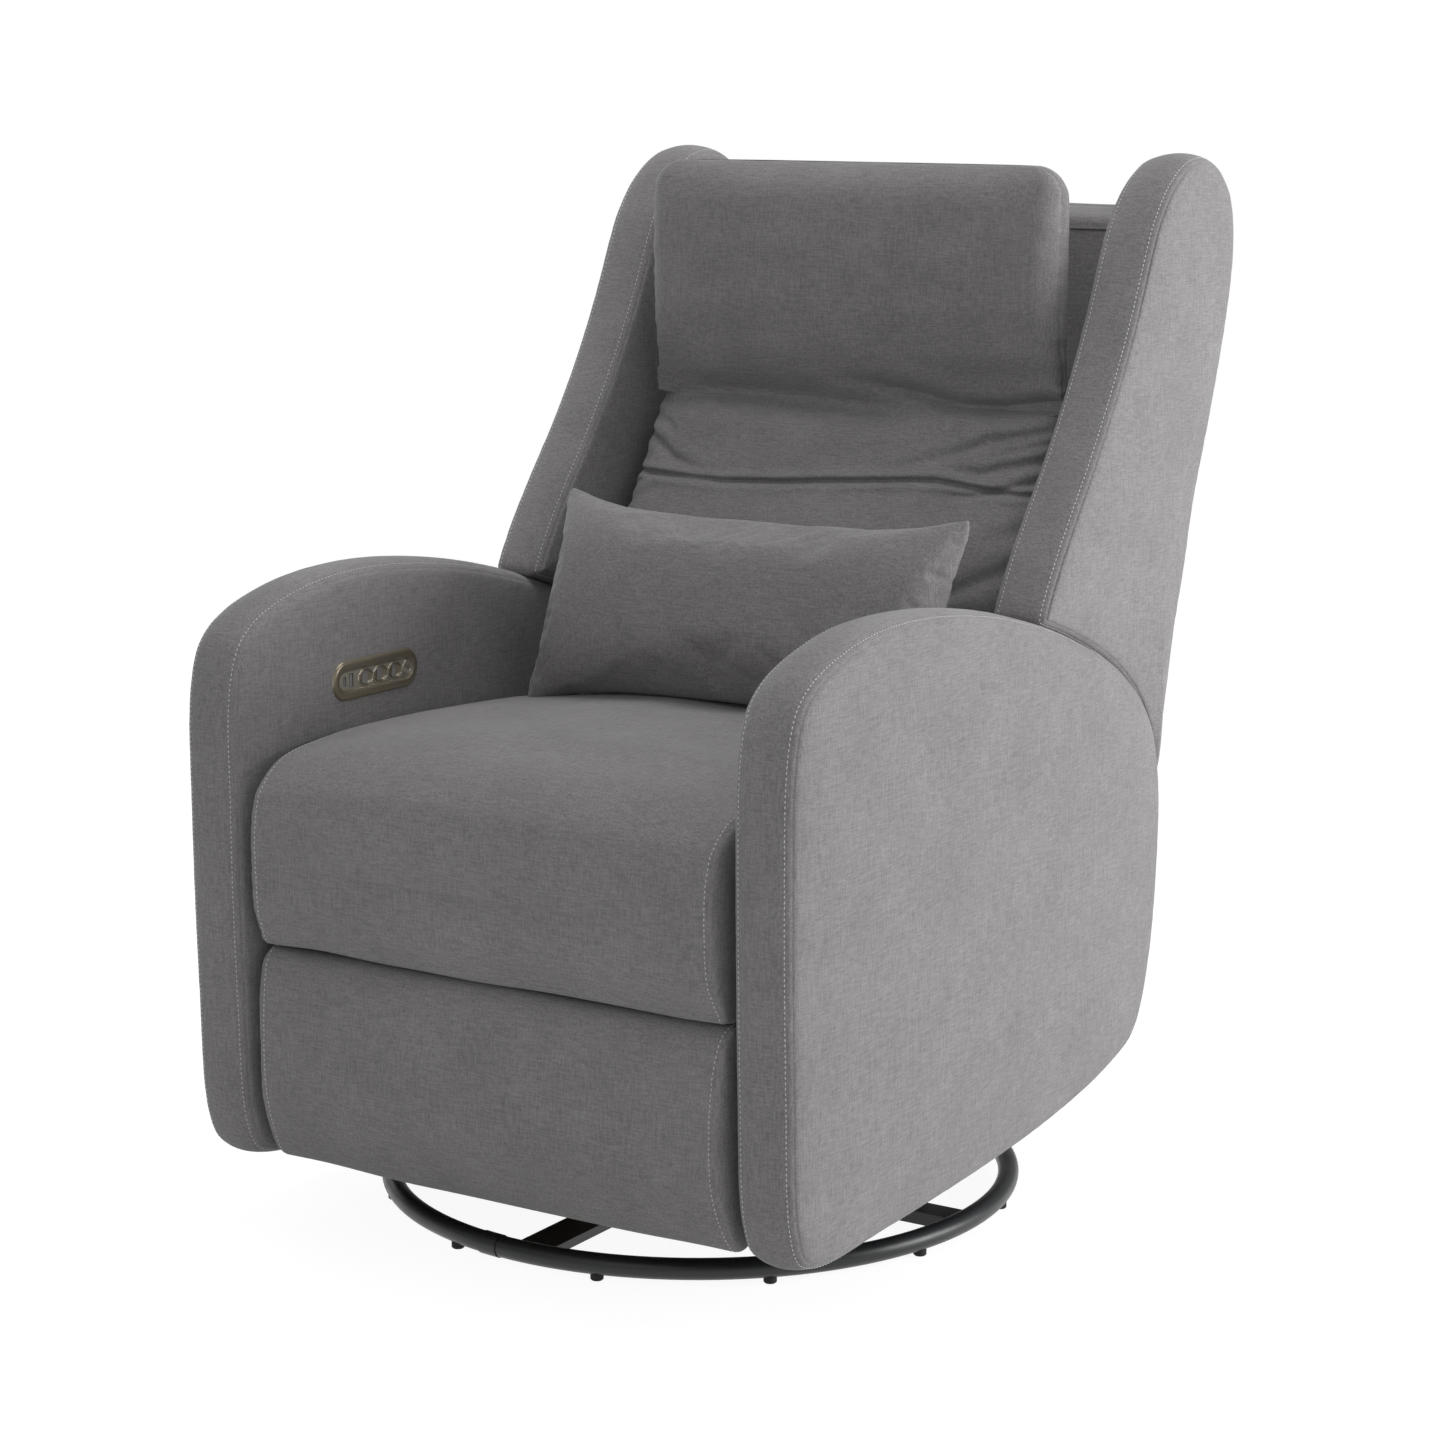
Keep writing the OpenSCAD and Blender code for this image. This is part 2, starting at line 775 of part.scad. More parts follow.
module home_shape(clearance) {
    disc([first_button_y + 2.86 * button_pitch, panel_z], home_d / 2 + clearance);
}

// The two sockets, as upright slots of the given sizes.
usb_c_y = panel_y - 49.5;
usb_a_y = panel_y - 39;
usb_a = [5.5, 13];
usb_c = [3.3, 9];
port_wall = 0.4;

module usb_c_shape(grow_by) {
    w = usb_c[0] / 2 + grow_by;
    translate([usb_c_y, panel_z]) {
        square([2 * w, usb_c[1] - usb_c[0]], center = true);
        for (s = [-1, 1]) translate([0, s * (usb_c[1] - usb_c[0]) / 2]) circle(w);
    }
}

module usb_a_shape(grow_by) {
    translate([usb_a_y, panel_z])
        square([usb_a[0] + 2 * grow_by, usb_a[1] + 2 * grow_by], center = true);
}

// Metal rim round the panel.
module panel_bezel() {
    color(bronze) mirror([1, 0, 0]) side_plate(bezel_front, switch_x - bezel_front) difference() {
        stadium(panel_l, panel_h);
        stadium(slot_l + 8, slot_h);
    }
}

// Plate inside the rim, with the holes for the buttons and the sockets.
module panel_face() {
    color(bronze) mirror([1, 0, 0]) side_plate(face_front, face_t) difference() {
        stadium(slot_l + 8 - 2 * fixed, slot_h - 2 * fixed);
        for (i = [0:2]) button_shape(i, 0.1);
        home_shape(0.1);
        usb_c_shape(port_wall + fixed);
        usb_a_shape(port_wall + fixed);
    }
}

// Sheet-metal shells of the two sockets, each with its tongue.
module usb_ports() {
    depth = switch_x - face_front;
    color(steel) mirror([1, 0, 0]) {
        side_plate(face_front, depth) difference() {
            usb_c_shape(port_wall);
            usb_c_shape(0);
        }
        side_plate(face_front, depth) difference() {
            usb_a_shape(port_wall);
            usb_a_shape(0);
        }
        side_plate(face_front + 2, depth - 2) translate([usb_c_y, panel_z])
            square([0.7, usb_c[1] - 2.6], center = true);
        side_plate(face_front + 2, depth - 2) translate([usb_a_y + 1, panel_z])
            square([1.8, usb_a[1] - 2], center = true);
        side_plate(switch_x - 1, 1) usb_c_shape(0);
        side_plate(switch_x - 1, 1) usb_a_shape(0);
    }
}

// Housing of the switches, inside the arm's padding.
module switch_box() {
    color(black) mirror([1, 0, 0]) side_plate(switch_x, switch_depth) stadium(slot_l, slot_h);
}

// A button stands just proud of the face, with room to travel behind it.
module button_body() {
    front = bezel_front + 1;
    color(bronze) mirror([1, 0, 0])
        side_plate(front, switch_x - front - button_travel - 0.3) children();
}

module button_recline_out() {
    button_body() button_shape(0, 0);
}

module button_recline_in() {
    button_body() button_shape(1, 0);
}

module button_head() {
    button_body() button_shape(2, 0);
}

module button_home() {
    button_body() home_shape(0);
}

// ---------------------------------------------------------------- actuator

track_top = cross_tube_z - cross_tube_d / 2 - 0.1;
track_h = 16;
track_w = 30;
track_y = [-368, 92];

// Aluminium guide under the cross tubes.
module actuator_track() {
    wall = 2.5;
    color(steel) difference() {
        translate([-track_w / 2, track_y[0], track_top - track_h])
            cube([track_w, track_y[1] - track_y[0], track_h]);
        translate([-track_w / 2 + wall, track_y[0] - 1, track_top - track_h + wall])
            cube([track_w - 2 * wall, track_y[1] - track_y[0] + 2, track_h - 2 * wall]);
    }
}

// Motor with its gearbox on the track's rear end.
module actuator_motor() {
    box_w = 44;
    box_h = 46;
    motor_r = 25;
    motor_l = 95;
    rear = [track_y[1] + box_w / 2, track_top - box_h / 2];
    color(black) {
        translate([-box_w / 2, track_y[1], track_top - box_h]) cube([box_w, box_w, box_h]);
        bar_x(rear, box_w / 2, motor_l, motor_r - 4);
    }
}

// Slide under the track. Its slotted yoke carries the lever's pin along.
module actuator_nut() {
    half = 20;
    plate_h = 6;
    cheek = 5;
    yoke_half = 14;
    yoke_t = 9.8;
    slot = lever_pin_d + 2 * open_pivot + 0.8;
    top = track_top - track_h - running;
    low = foot_b[1] + 18;
    slot_low = lever_pin[1] - lever_pin_d / 2 - 1.5;
    slot_top = foot_b[1] + lever + lever_pin_d / 2 + 1.5;
    color(bronze) difference() {
        union() {
            translate([-half, lever_pin[0] - half, top - plate_h]) cube([2 * half, 2 * half, plate_h]);
            both_sides() translate([track_w / 2 + running, lever_pin[0] - half, top - plate_h])
                cube([cheek, 2 * half, plate_h + track_h - 2]);
            translate([-yoke_t / 2, lever_pin[0] - yoke_half, low])
                cube([yoke_t, 2 * yoke_half, top - low - plate_h + 0.01]);
        }
        translate([-half, lever_pin[0] - slot / 2, slot_low])
            cube([2 * half, slot, slot_top - slot_low]);
    }
}

// Control unit on the rear rail, with the socket for the power lead.
module power_box() {
    size = [120, 36, 54];
    place = [-190, frame_rear, frame_low + 18];
    color(black) difference() {
        union() {
            translate(place) cube(size);
            translate(inlet_place) cylinder(d = 12, h = place[2] - inlet_place[2] + 1);
        }
        translate(inlet_place - [0, 0, 1]) cylinder(r = inlet_r, h = inlet_l + 1);
    }
}

inlet_place = [-100, frame_rear + 18, frame_low + 12];
inlet_r = 2.8;
inlet_l = 12;

// ---------------------------------------------------------------- footrest

// Tube that joins the two rear links, with the lever pair of the actuator.
module drive_tube() {
    tube_r = 12.5;
    wall = 2.5;
    lever_t = 4;
    lever_x = 5.5;
    color(black) {
        difference() {
            bar_x(foot_b, -layer_a, 2 * layer_a, tube_r);
            bar_x(foot_b, -layer_a - 1, 2 * layer_a + 2, tube_r - wall);
        }
        difference() {
            both_sides() side_plate(lever_x, lever_t) link_shape(foot_b, lever_pin, 15);
            bar_x(foot_b, -layer_a, 2 * layer_a, tube_r);
        }
        bar_x(lever_pin, -lever_x - lever_t, 2 * (lever_x + lever_t), lever_pin_d / 2);
    }
}

// Front links, each with a lug for its turning link.
module footrest_front_links() {
    color(black) both_sides() {
        side_plate(layer_a, steel_t) difference() {
            union() {
                link_shape(foot_a, foot_j, link_w);
                link_shape(foot_j, foot_q, link_w);
            }
            disc(foot_a, pin_d / 2 + running);
        }
        stud(foot_j, layer_a);
        stud(foot_q, layer_a);
    }
}

// Rear links, on the ends of the drive tube.
module footrest_rear_links() {
    color(black) both_sides() {
        side_plate(layer_a, steel_t) difference() {
            union() {
                link_shape(foot_b, foot_p, link_w);
                disc(foot_b, 13.5);
            }
            disc(foot_b, pin_d / 2 + running);
        }
        stud(foot_p, layer_a);
    }
}

// Long links, which stay parallel to themselves as the footrest opens.
module footrest_long_links() {
    color(black) both_sides() {
        side_plate(layer_b, steel_t) difference() {
            union() {
                link_shape(foot_j, foot_k, link_w);
                link_shape(foot_j, foot_p, link_w);
                disc(foot_j, link_w / 2 + 2);
            }
            disc(foot_j, pin_d / 2 + running);
            disc(foot_p, pin_d / 2 + 0.3);
        }
        stud(foot_k, layer_b);
    }
}

// Turning links, which swing the panel up.
module footrest_turning_links() {
    color(black) both_sides() {
        side_plate(layer_b, steel_t) difference() {
            link_shape(foot_q, foot_r, link_w - 1.5);
            disc(foot_q, pin_d / 2 + running);
        }
        stud(foot_r, layer_b);
    }
}

// Angle brackets behind the footrest's board.
module footrest_brackets() {
    flange = 28;
    low = 120;
    high = 250;
    color(black) both_sides() {
        side_plate(layer_c, steel_t) difference() {
            union() {
                polygon([
                    [board_back, low], [board_back + 6, low], [foot_r[0] + 11, foot_r[1] - 5],
                    [foot_k[0] + 10, foot_k[1]], [foot_k[0], foot_k[1] + 10], [board_back, high]
                ]);
                disc(foot_k, 10);
                disc(foot_r, 12);
            }
            disc(foot_k, pin_d / 2 + running);
            disc(foot_r, pin_d / 2 + open_pivot);
        }
        translate([layer_c - flange, board_back, low]) cube([flange + 0.01, steel_t, high - low]);
    }
}

module footrest_board() {
    margin = 8;
    color(wood) translate([-footrest_half + margin, board_front, footrest_low + margin])
        cube([2 * (footrest_half - margin), board_t, footrest_top - footrest_low - 2 * margin]);
}

// The footrest's padding, with a rounded lower edge.
module footrest_pad() {
    shares = [
        [0.27, 0.13], [0.06, 0.3], [0, 0.5], [0.05, 0.77], [0.19, 0.94], [0.42, 1], [0.75, 1],
        [0.98, 0.96], [0.985, 0.75], [0.985, 0.5], [0.985, 0.25], [0.98, 0.05], [0.75, 0],
        [0.5, 0.02]
    ];
    rear = board_front - soft;
    outline = smooth(in_box(
        shares, [rear - footrest_pad_t, footrest_low],
        [footrest_pad_t, footrest_top - footrest_low]
    ));
    middle = [rear - 0.5 * footrest_pad_t, (footrest_low + footrest_top) / 2];
    color(cloth) pad(outline, middle, [-1, 0], cushioned(footrest_half, 8, 0, 0.06));
}

// -------------------------------------------------------------------- seat

// The seat cushion, with its roll in front of the frame.
module seat_cushion() {
    d = seat_rear - seat_front;
    h = seat_top - seat_roll_low;
    roll_back = frame_front - 2;
    front = in_box([
        [0.06, 0], [0.03, 0.08], [0.009, 0.2], [0.002, 0.35], [0, 0.6], [0.013, 0.76],
        [0.03, 0.83], [0.069, 0.91], [0.119, 0.96], [0.203, 0.985], [0.337, 1], [0.585, 0.995],
        [0.808, 0.98], [0.965, 0.955], [1, 0.88]
    ], [seat_front, seat_roll_low], [d, h]);
    under = [
        [seat_rear, cushion_low + 20], [seat_rear, cushion_low + 7],
        [seat_rear - 7, cushion_low], [seat_rear - 20, cushion_low],
        [roll_back + 90, cushion_low], [roll_back + 8, cushion_low], [roll_back + 0.5, cushion_low],
        [roll_back, cushion_low - 8], [roll_back, seat_roll_low + 24],
        [roll_back - 10, seat_roll_low + 2]
    ];
    middle = [roll_back - 45, cushion_low + 35];
    color(cloth) pad(
        smooth(concat(front, under)), middle, [0, 1],
        cushioned(seat_half, 12, 0, seat_crown / (seat_top - middle[1]))
    );
}

// -------------------------------------------------------------------- back

// Places a piece that is drawn in the back's own axes.
module in_back() {
    translate([0, back_origin[0], back_origin[1]]) rotate([-back_tilt, 0, 0]) children();
}

// A point of the back's own (Y, Z) plane in the chair's plane.
function from_back(p) = [
    back_origin[0] + p[0] * cos(back_tilt) + p[1] * sin(back_tilt),
    back_origin[1] - p[0] * sin(back_tilt) + p[1] * cos(back_tilt)
];

stile_rear = -outer_back_t - soft;
stile_front = stile_rear - stile_d;
stile_low = 2;
stile_high = outer_back_h - 50;

// Steel brackets that hang the back on the recline pins.
module back_brackets() {
    recline = [recline_y, recline_z];
    low = from_back([stile_rear - stile_d / 2, stile_low + 16]);
    high = from_back([stile_rear - stile_d / 2, stile_low + 90]);
    color(black) both_sides() side_plate(layer_a, steel_t) difference() {
        union() {
            disc(recline, 19);
            link_shape(recline, low, 30);
            link_shape(low, high, 30);
        }
        disc(recline, pin_d / 2 + running);
    }
}

// Upright members of the back's frame.
module back_stiles() {
    color(wood) both_sides() in_back() translate([stile_x, stile_front, stile_low])
        cube([rail_t, stile_d, stile_high - stile_low]);
}

// Cross members of the back's frame.
module back_rails() {
    rail_w = 46;
    for (z = [stile_low, 0.45 * stile_high, stile_high - rail_w])
        color(wood) in_back() translate([-stile_x, stile_front, z])
            cube([2 * stile_x, stile_d, rail_w]);
}

// Thick back cushion, fullest behind the lumbar pillow.
module back_cushion() {
    low = 388;
    rear = [
        for (q = [[-2, 372], [0, 340], [0, 240], [0, 120], [0, 50], [-1.5, 20]])
            from_back([stile_front - soft + q[0], q[1]])
    ];
    front = in_box([
        [0.295, 0.01], [0.09, 0.107], [0, 0.26], [0.051, 0.412], [0.244, 0.565], [0.513, 0.692],
        [0.744, 0.794], [0.859, 0.896], [0.904, 0.964], [1, 1], [1.256, 1], [1.615, 0.997]
    ], [back_front_y, low], [222 - back_front_y, back_cushion_top - low]);
    under = [[210, low + 6], [160, low]];
    color(cloth_dark) pad(
        smooth(concat(front, rear, under)), [205, 590], [-1, 0], cushioned(back_half, 16, 0, 0.36)
    );
}

// Outer panel of the back, from the top edge down behind the rear panel.
module outer_back() {
    t = outer_back_t;
    h = outer_back_h;
    outline = smooth([
        [-t, -50], [-t, 0], [-t, 0.33 * h], [-t, 0.66 * h], [-t, h - 32], [-t + 2, h - 12],
        [-t + 8, h - 3], [-t + 16, h], [-4, h - 5], [0, h - 22], [0, 0.8 * h], [0, 0.5 * h],
        [0, 0.2 * h], [0, -20], [-1, -48], [-6, -57], [-14, -60], [-t + 4, -58]
    ]);
    color(cloth) in_back()
        pad(outline, [-t / 2, h / 2], [1, 0], cushioned(wing_in - 0.5, 4, 0, 0));
}

// The wing's seam from the side, in shares of its box. The arm cuts it below.
wing_shares = [
    [0, 0.3], [0.057, 0.375], [0.154, 0.463], [0.254, 0.547], [0.354, 0.642], [0.454, 0.755],
    [0.544, 0.875], [0.591, 0.922], [0.653, 0.963], [0.741, 0.994], [0.836, 1],
    [0.919, 0.981], [0.979, 0.939], [1, 0.882], [0.995, 0.816], [0.957, 0.718],
    [0.881, 0.573], [0.805, 0.445], [0.755, 0.332], [0.705, 0.237], [0.667, 0.14],
    [0.634, 0.059], [0.608, 0], [0.45, 0.04], [0.2, 0.14], [0.03, 0.24]
];
wing_low = [39, 400];
wing_rear = 460;

// The padded left wing, cut clear of the arm and of the outer back panel.
module wing_shape() {
    size = [wing_rear - wing_low[0], wing_top - wing_low[1]];
    outline = smooth(in_box(wing_shares, wing_low, size));
    middle = [wing_low[0] + 0.6 * size[0], wing_low[1] + 0.5 * size[1]];
    difference() {
        pad(outline, middle, [0, 1], seamed(wing_in, wing_out, wing_crown, 4));
        side_plate(wing_in - 20, wing_t + 40) polygon(grow(arm_seam, arm_crown + wing_gap));
        in_back() translate([0, -outer_back_t - 4, -100])
            cube([wing_in - 0.5 + soft, outer_back_t + 60, outer_back_h + 110]);
    }
}

module wing_left() {
    color(cloth) wing_shape();
}

module wing_right() {
    color(cloth) mirror([1, 0, 0]) wing_shape();
}

// ---------------------------------------------------------------- headrest

head_pivot = [head_pivot_y, head_pivot_z];
head_half = seat_half - head_inset;
head_rear = head_pivot_y - 4;
head_low = head_pivot_z + 11;
head_top = head_low + head_h;

// Arms from the back's stiles to the headrest's rod.
module headrest_brackets() {
    along = (head_pivot_z - back_origin[1]) / cos(back_tilt);
    root = from_back([stile_rear - stile_d / 2, along - 14]);
    color(black) both_sides() side_plate(stile_x - steel_t, steel_t) difference() {
        link_shape(head_pivot, root, 17);
        disc(head_pivot, head_rod_d / 2 + fixed);
    }
}

// Rod that the headrest turns on.
module headrest_rod() {
    color(steel) bar_x(head_pivot, -stile_x, 2 * stile_x, head_rod_d / 2);
}

// Steel plate behind the head cushion, with its two eyes on the rod.
module headrest_frame() {
    half = 208;
    front = head_rear + 0.4;
    low = head_pivot_z + 38;
    color(black) {
        translate([-half, front, low]) cube([2 * half, steel_t, head_top - 40 - low]);
        both_sides() side_plate(half - steel_t, steel_t) difference() {
            union() {
                disc(head_pivot, 9);
                polygon([
                    [front, head_pivot_z + 4], [head_pivot_y + 9, head_pivot_z],
                    [head_pivot_y + 9, low + 60], [front, low + 100]
                ]);
            }
            disc(head_pivot, head_rod_d / 2 + running);
        }
    }
}

// Head cushion, leaning forward of the back.
module head_cushion() {
    outline = smooth(in_box([
        [0.38, 0.01], [0.17, 0.147], [0.09, 0.338], [0.01, 0.623], [0.12, 0.84], [0.35, 0.952],
        [0.64, 0.995], [0.85, 0.96], [0.984, 0.81], [0.984, 0.407], [0.984, 0.147], [0.85, 0.004],
        [0.61, 0]
    ], [head_rear - head_t_side, head_low], [head_t_side, head_h]));
    middle = [head_rear - 0.33 * head_t_side, head_low + head_h / 2];
    color(cloth_dark) pad(outline, middle, [-1, 0], cushioned(head_half, 3, 0.2, 0.8));
}

// ------------------------------------------------------------------ pillow

// The loose lumbar pillow: a knife-edged case with pointed corners, whose
// edges draw in between them.
module lumbar_pillow() {
    n = 12;
    m = 8;
    draw_x = 0.035;
    draw_z = 0.1;
    lean = 19.5;
    function across(i) = sin(90 * (2 * i / n - 1));
    function along(j) = sin(90 * (2 * j / m - 1));
    function thick(u, v) = pillow_t / 2 * pow((1 - pow(u, 4)) * (1 - pow(v, 4)), 0.55);
    function place(u, v, s) = [
        pillow_w / 2 * u * (1 - draw_x * (1 - v * v)),
        s * thick(u, v),
        pillow_h / 2 * v * (1 - draw_z * (1 - u * u))
    ];
    inner = [for (j = [1:m - 1]) for (i = [1:n - 1]) [i, j]];
    front = [for (j = [0:m]) for (i = [0:n]) place(across(i), along(j), -1)];
    back = [for (q = inner) place(across(q[0]), along(q[1]), 1)];
    function f(i, j) = j * (n + 1) + i;
    function b(i, j) = (i == 0 || i == n || j == 0 || j == m)
        ? f(i, j)
        : (n + 1) * (m + 1) + (j - 1) * (n - 1) + i - 1;
    function split(q, s) = s ? [[q[0], q[1], q[2]], [q[0], q[2], q[3]]]
        : [[q[1], q[2], q[3]], [q[1], q[3], q[0]]];
    faces = [
        for (j = [0:m - 1]) for (i = [0:n - 1])
            let (s = (i < n / 2) == (j < m / 2))
            each concat(
                split([f(i, j), f(i, j + 1), f(i + 1, j + 1), f(i + 1, j)], s),
                split([b(i, j), b(i + 1, j), b(i + 1, j + 1), b(i, j + 1)], s)
            )
    ];
    color(cloth_dark) translate([0, pillow_y, pillow_z]) rotate([-lean, 0, 0])
        polyhedron(concat(front, back), faces);
}

pillow_y = -11.7;
pillow_z = 594.1;

// ------------------------------------------------------------------- nodes

base_ring();
ring_sleeve();
ring_feet();
base_bar_long();
base_bars_side();
swivel_lower_plate();
king_pin();
bearing_balls();
ball_cage();
swivel_upper_plate();
glide_cross_bars();
glide_rails();
glide_upper_pins();
glide_front_links();
glide_rear_links();
mechanism_plates();
mechanism_pins();
cross_tubes();
seat_rails_cross();
seat_rails_side();
seat_webbing();
seat_cushion();
arm_left();
arm_right();
arm_boards();
arm_bolts();
rear_battens();
rear_panel();
panel_bezel();
panel_face();
usb_ports();
switch_box();
button_recline_out();
button_recline_in();
button_head();
button_home();
actuator_motor();
actuator_track();
actuator_nut();
power_box();
drive_tube();
footrest_front_links();
footrest_rear_links();
footrest_long_links();
footrest_turning_links();
footrest_brackets();
footrest_board();
footrest_pad();
back_brackets();
back_stiles();
back_rails();
back_cushion();
outer_back();
wing_left();
wing_right();
headrest_brackets();
headrest_rod();
headrest_frame();
head_cushion();
lumbar_pillow();
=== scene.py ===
"""Dresses the power reclining glider chair: cloth covers, stitching, metal and lights."""

import json
import math

import bmesh
import bpy
import numpy as np
from mathutils import Matrix, Vector


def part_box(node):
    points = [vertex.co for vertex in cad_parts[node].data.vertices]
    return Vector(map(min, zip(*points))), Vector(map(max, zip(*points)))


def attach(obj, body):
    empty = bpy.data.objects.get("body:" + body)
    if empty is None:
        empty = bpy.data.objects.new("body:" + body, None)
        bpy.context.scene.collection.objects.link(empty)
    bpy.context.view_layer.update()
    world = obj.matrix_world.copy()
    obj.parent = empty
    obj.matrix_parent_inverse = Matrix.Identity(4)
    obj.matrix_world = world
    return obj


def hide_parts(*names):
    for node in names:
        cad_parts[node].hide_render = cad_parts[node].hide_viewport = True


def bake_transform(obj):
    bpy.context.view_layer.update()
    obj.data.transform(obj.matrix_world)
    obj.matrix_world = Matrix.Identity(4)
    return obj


bl_info = {
    "name": "Glider Chair Upholstery",
    "version": (1, 0, 0),
    "blender": (4, 5, 0),
    "location": "3D View > Sidebar > Glider",
    "description": "Covers, stitches and finishes a power reclining glider chair",
    "category": "Object",
}

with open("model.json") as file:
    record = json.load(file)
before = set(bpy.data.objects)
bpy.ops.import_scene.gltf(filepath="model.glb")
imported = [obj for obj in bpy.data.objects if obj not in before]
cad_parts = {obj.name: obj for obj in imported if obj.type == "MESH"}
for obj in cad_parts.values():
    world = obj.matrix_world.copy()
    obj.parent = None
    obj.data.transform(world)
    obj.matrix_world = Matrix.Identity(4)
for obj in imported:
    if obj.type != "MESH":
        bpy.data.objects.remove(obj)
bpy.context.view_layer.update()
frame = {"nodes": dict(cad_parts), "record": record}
nodes = frame["nodes"]
MM = 0.001
TILT = math.radians(16.3)  # how far the back leans
THREAD = (0.6 * MM, 0.45 * MM)  # half the width and half the height of a stitch
SINK = 0.35 * MM  # how far the topstitching presses into the cloth


# ------------------------------------------------------------------ settings


class GliderCloth(bpy.types.PropertyGroup):
    """Colours and thread sizes of the cover cloth."""

    colour: bpy.props.StringProperty(
        name="Cloth", description="Colour of the cover cloth, as sRGB hex", default="8c8a8a"
    )
    thread: bpy.props.StringProperty(
        name="Thread", description="Colour of the topstitching thread, as sRGB hex", default="e4e3e2"
    )
    stitch_pitch: bpy.props.FloatProperty(
        name="Stitch pitch", description="Distance from one topstitch to the next",
        default=5 * MM, min=3 * MM, max=8 * MM, unit="LENGTH",
    )
    stitch_length: bpy.props.FloatProperty(
        name="Stitch length", description="Length of thread that shows in one topstitch",
        default=3.3 * MM, min=2 * MM, max=6 * MM, unit="LENGTH",
    )
    stitch_inset: bpy.props.FloatProperty(
        name="Stitch inset", description="Distance of the topstitching from its seam",
        default=7 * MM, min=4 * MM, max=10 * MM, unit="LENGTH",
    )


class GliderPanel(bpy.types.PropertyGroup):
    """Sizes and colours of the control panel."""

    length: bpy.props.FloatProperty(
        name="Length", description="Length of the panel's rim",
        default=138 * MM, min=0.12, max=0.15, unit="LENGTH",
    )
    height: bpy.props.FloatProperty(
        name="Height", description="Height of the panel's rim",
        default=41 * MM, min=0.03, max=0.045, unit="LENGTH",
    )
    colour: bpy.props.StringProperty(
        name="Metal", description="Colour of the metallic paint, as sRGB hex", default="9d9482"
    )


class GliderStage(bpy.types.PropertyGroup):
    """Camera and light of the studio."""

    lens: bpy.props.FloatProperty(
        name="Lens", description="Focal length on a 36 mm sensor", default=85.32, min=50, max=120
    )
    key: bpy.props.FloatProperty(
        name="Key light", description="Power of the large lamp at the chair's left",
        default=78, min=0, max=500,
    )
    fill: bpy.props.FloatProperty(
        name="Surround", description="Strength of the white surround", default=0.36, min=0, max=1
    )


# ------------------------------------------------------------------- helpers


def linear(code):
    """The linear RGBA of an sRGB hex colour."""
    values = [int(code[i:i + 2], 16) / 255 for i in (0, 2, 4)]
    return [v / 12.92 if v <= 0.04045 else ((v + 0.055) / 1.055) ** 2.4 for v in values] + [1]


def shade(code, factor):
    """The linear RGBA of an sRGB hex colour, made darker or lighter."""
    return [min(1, v * factor) for v in linear(code)[:3]] + [1]


def add(tree, kind, inputs=None, **settings):
    """Adds a node. The settings are its properties, and inputs are values or sockets to link."""
    n = tree.nodes.new(kind)
    for key, value in settings.items():
        setattr(n, key, value)
    for key, value in (inputs or {}).items():
        if isinstance(value, bpy.types.NodeSocket):
            tree.links.new(value, n.inputs[key])
        else:
            n.inputs[key].default_value = value
    return n


def new_material(name):
    """A material with its tree, its shader and the object coordinates of the piece."""
    material = bpy.data.materials.new(name)
    material.use_nodes = True
    tree = material.node_tree
    shader = tree.nodes["Principled BSDF"]
    return material, tree, shader, add(tree, "ShaderNodeTexCoord").outputs["Object"]


def mixed(tree, factor, dark, light):
    """A mix of two colours by a factor from 0 to 1."""
    inputs = {"Factor": factor, 6: dark, 7: light}
    return add(tree, "ShaderNodeMix", inputs, data_type="RGBA").outputs[2]


def ranged(tree, value, low, high, dark, light):
    """A value from low to high, stretched to run from dark to light."""
    inputs = {"Value": value, "From Min": low, "From Max": high, "To Min": dark, "To Max": light}
    return add(tree, "ShaderNodeMapRange", inputs).outputs[0]


def noise(tree, at, scale, detail, **more):
    """Cloudy noise over places."""
    inputs = {"Vector": at, "Scale": scale, "Detail": detail, **more}
    return add(tree, "ShaderNodeTexNoise", inputs).outputs["Fac"]


def surface(tree, shader, colour, height, strength, depth, **more):
    """Joins a colour and a relief to the shader, and sets its other inputs."""
    inputs = {"Height": height, "Strength": strength, "Distance": depth}
    tree.links.new(colour, shader.inputs["Base Color"])
    tree.links.new(add(tree, "ShaderNodeBump", inputs).outputs[0], shader.inputs["Normal"])
    for key, value in more.items():
        shader.inputs[key.replace("_", " ")].default_value = value


def even_steps(loop, count):
    """Points at even steps along a closed run of points."""
    closed = np.vstack([loop, loop[:1]])
    run = np.concatenate([[0], np.cumsum(np.linalg.norm(np.diff(closed, axis=0), axis=1))])
    at = np.linspace(0, run[-1], count, endpoint=False)
    return np.column_stack([np.interp(at, run, closed[:, k]) for k in range(closed.shape[1])])


def closed_curve(points, count):
    """Points at even steps along the smooth closed curve through the given ones."""
    p = np.array(points, float)
    n = len(p)
    t = np.linspace(0, 1, 12, endpoint=False)[:, None]
    parts = []
    for i in range(n):
        a, b, c, d = p[i - 1], p[i], p[(i + 1) % n], p[(i + 2) % n]
        parts.append(
            b + 0.5 * t * (c - a + t * (2 * a - 5 * b + 4 * c - d + t * (3 * (b - c) + d - a)))
        )
    return even_steps(np.concatenate(parts), count)


def in_box(shares, low, size):
    """Shares of a (Y, Z) box as places."""
    return np.array(low) + np.array(shares) * np.array(size)


def outward(loop):
    """Unit normals of a closed (Y, Z) loop that runs up the front and down the rear."""
    t = np.roll(loop, -1, 0) - np.roll(loop, 1, 0)
    n = np.column_stack([-t[:, 1], t[:, 0]])
    return n / np.maximum(np.linalg.norm(n, axis=1, keepdims=True), 1e-12)


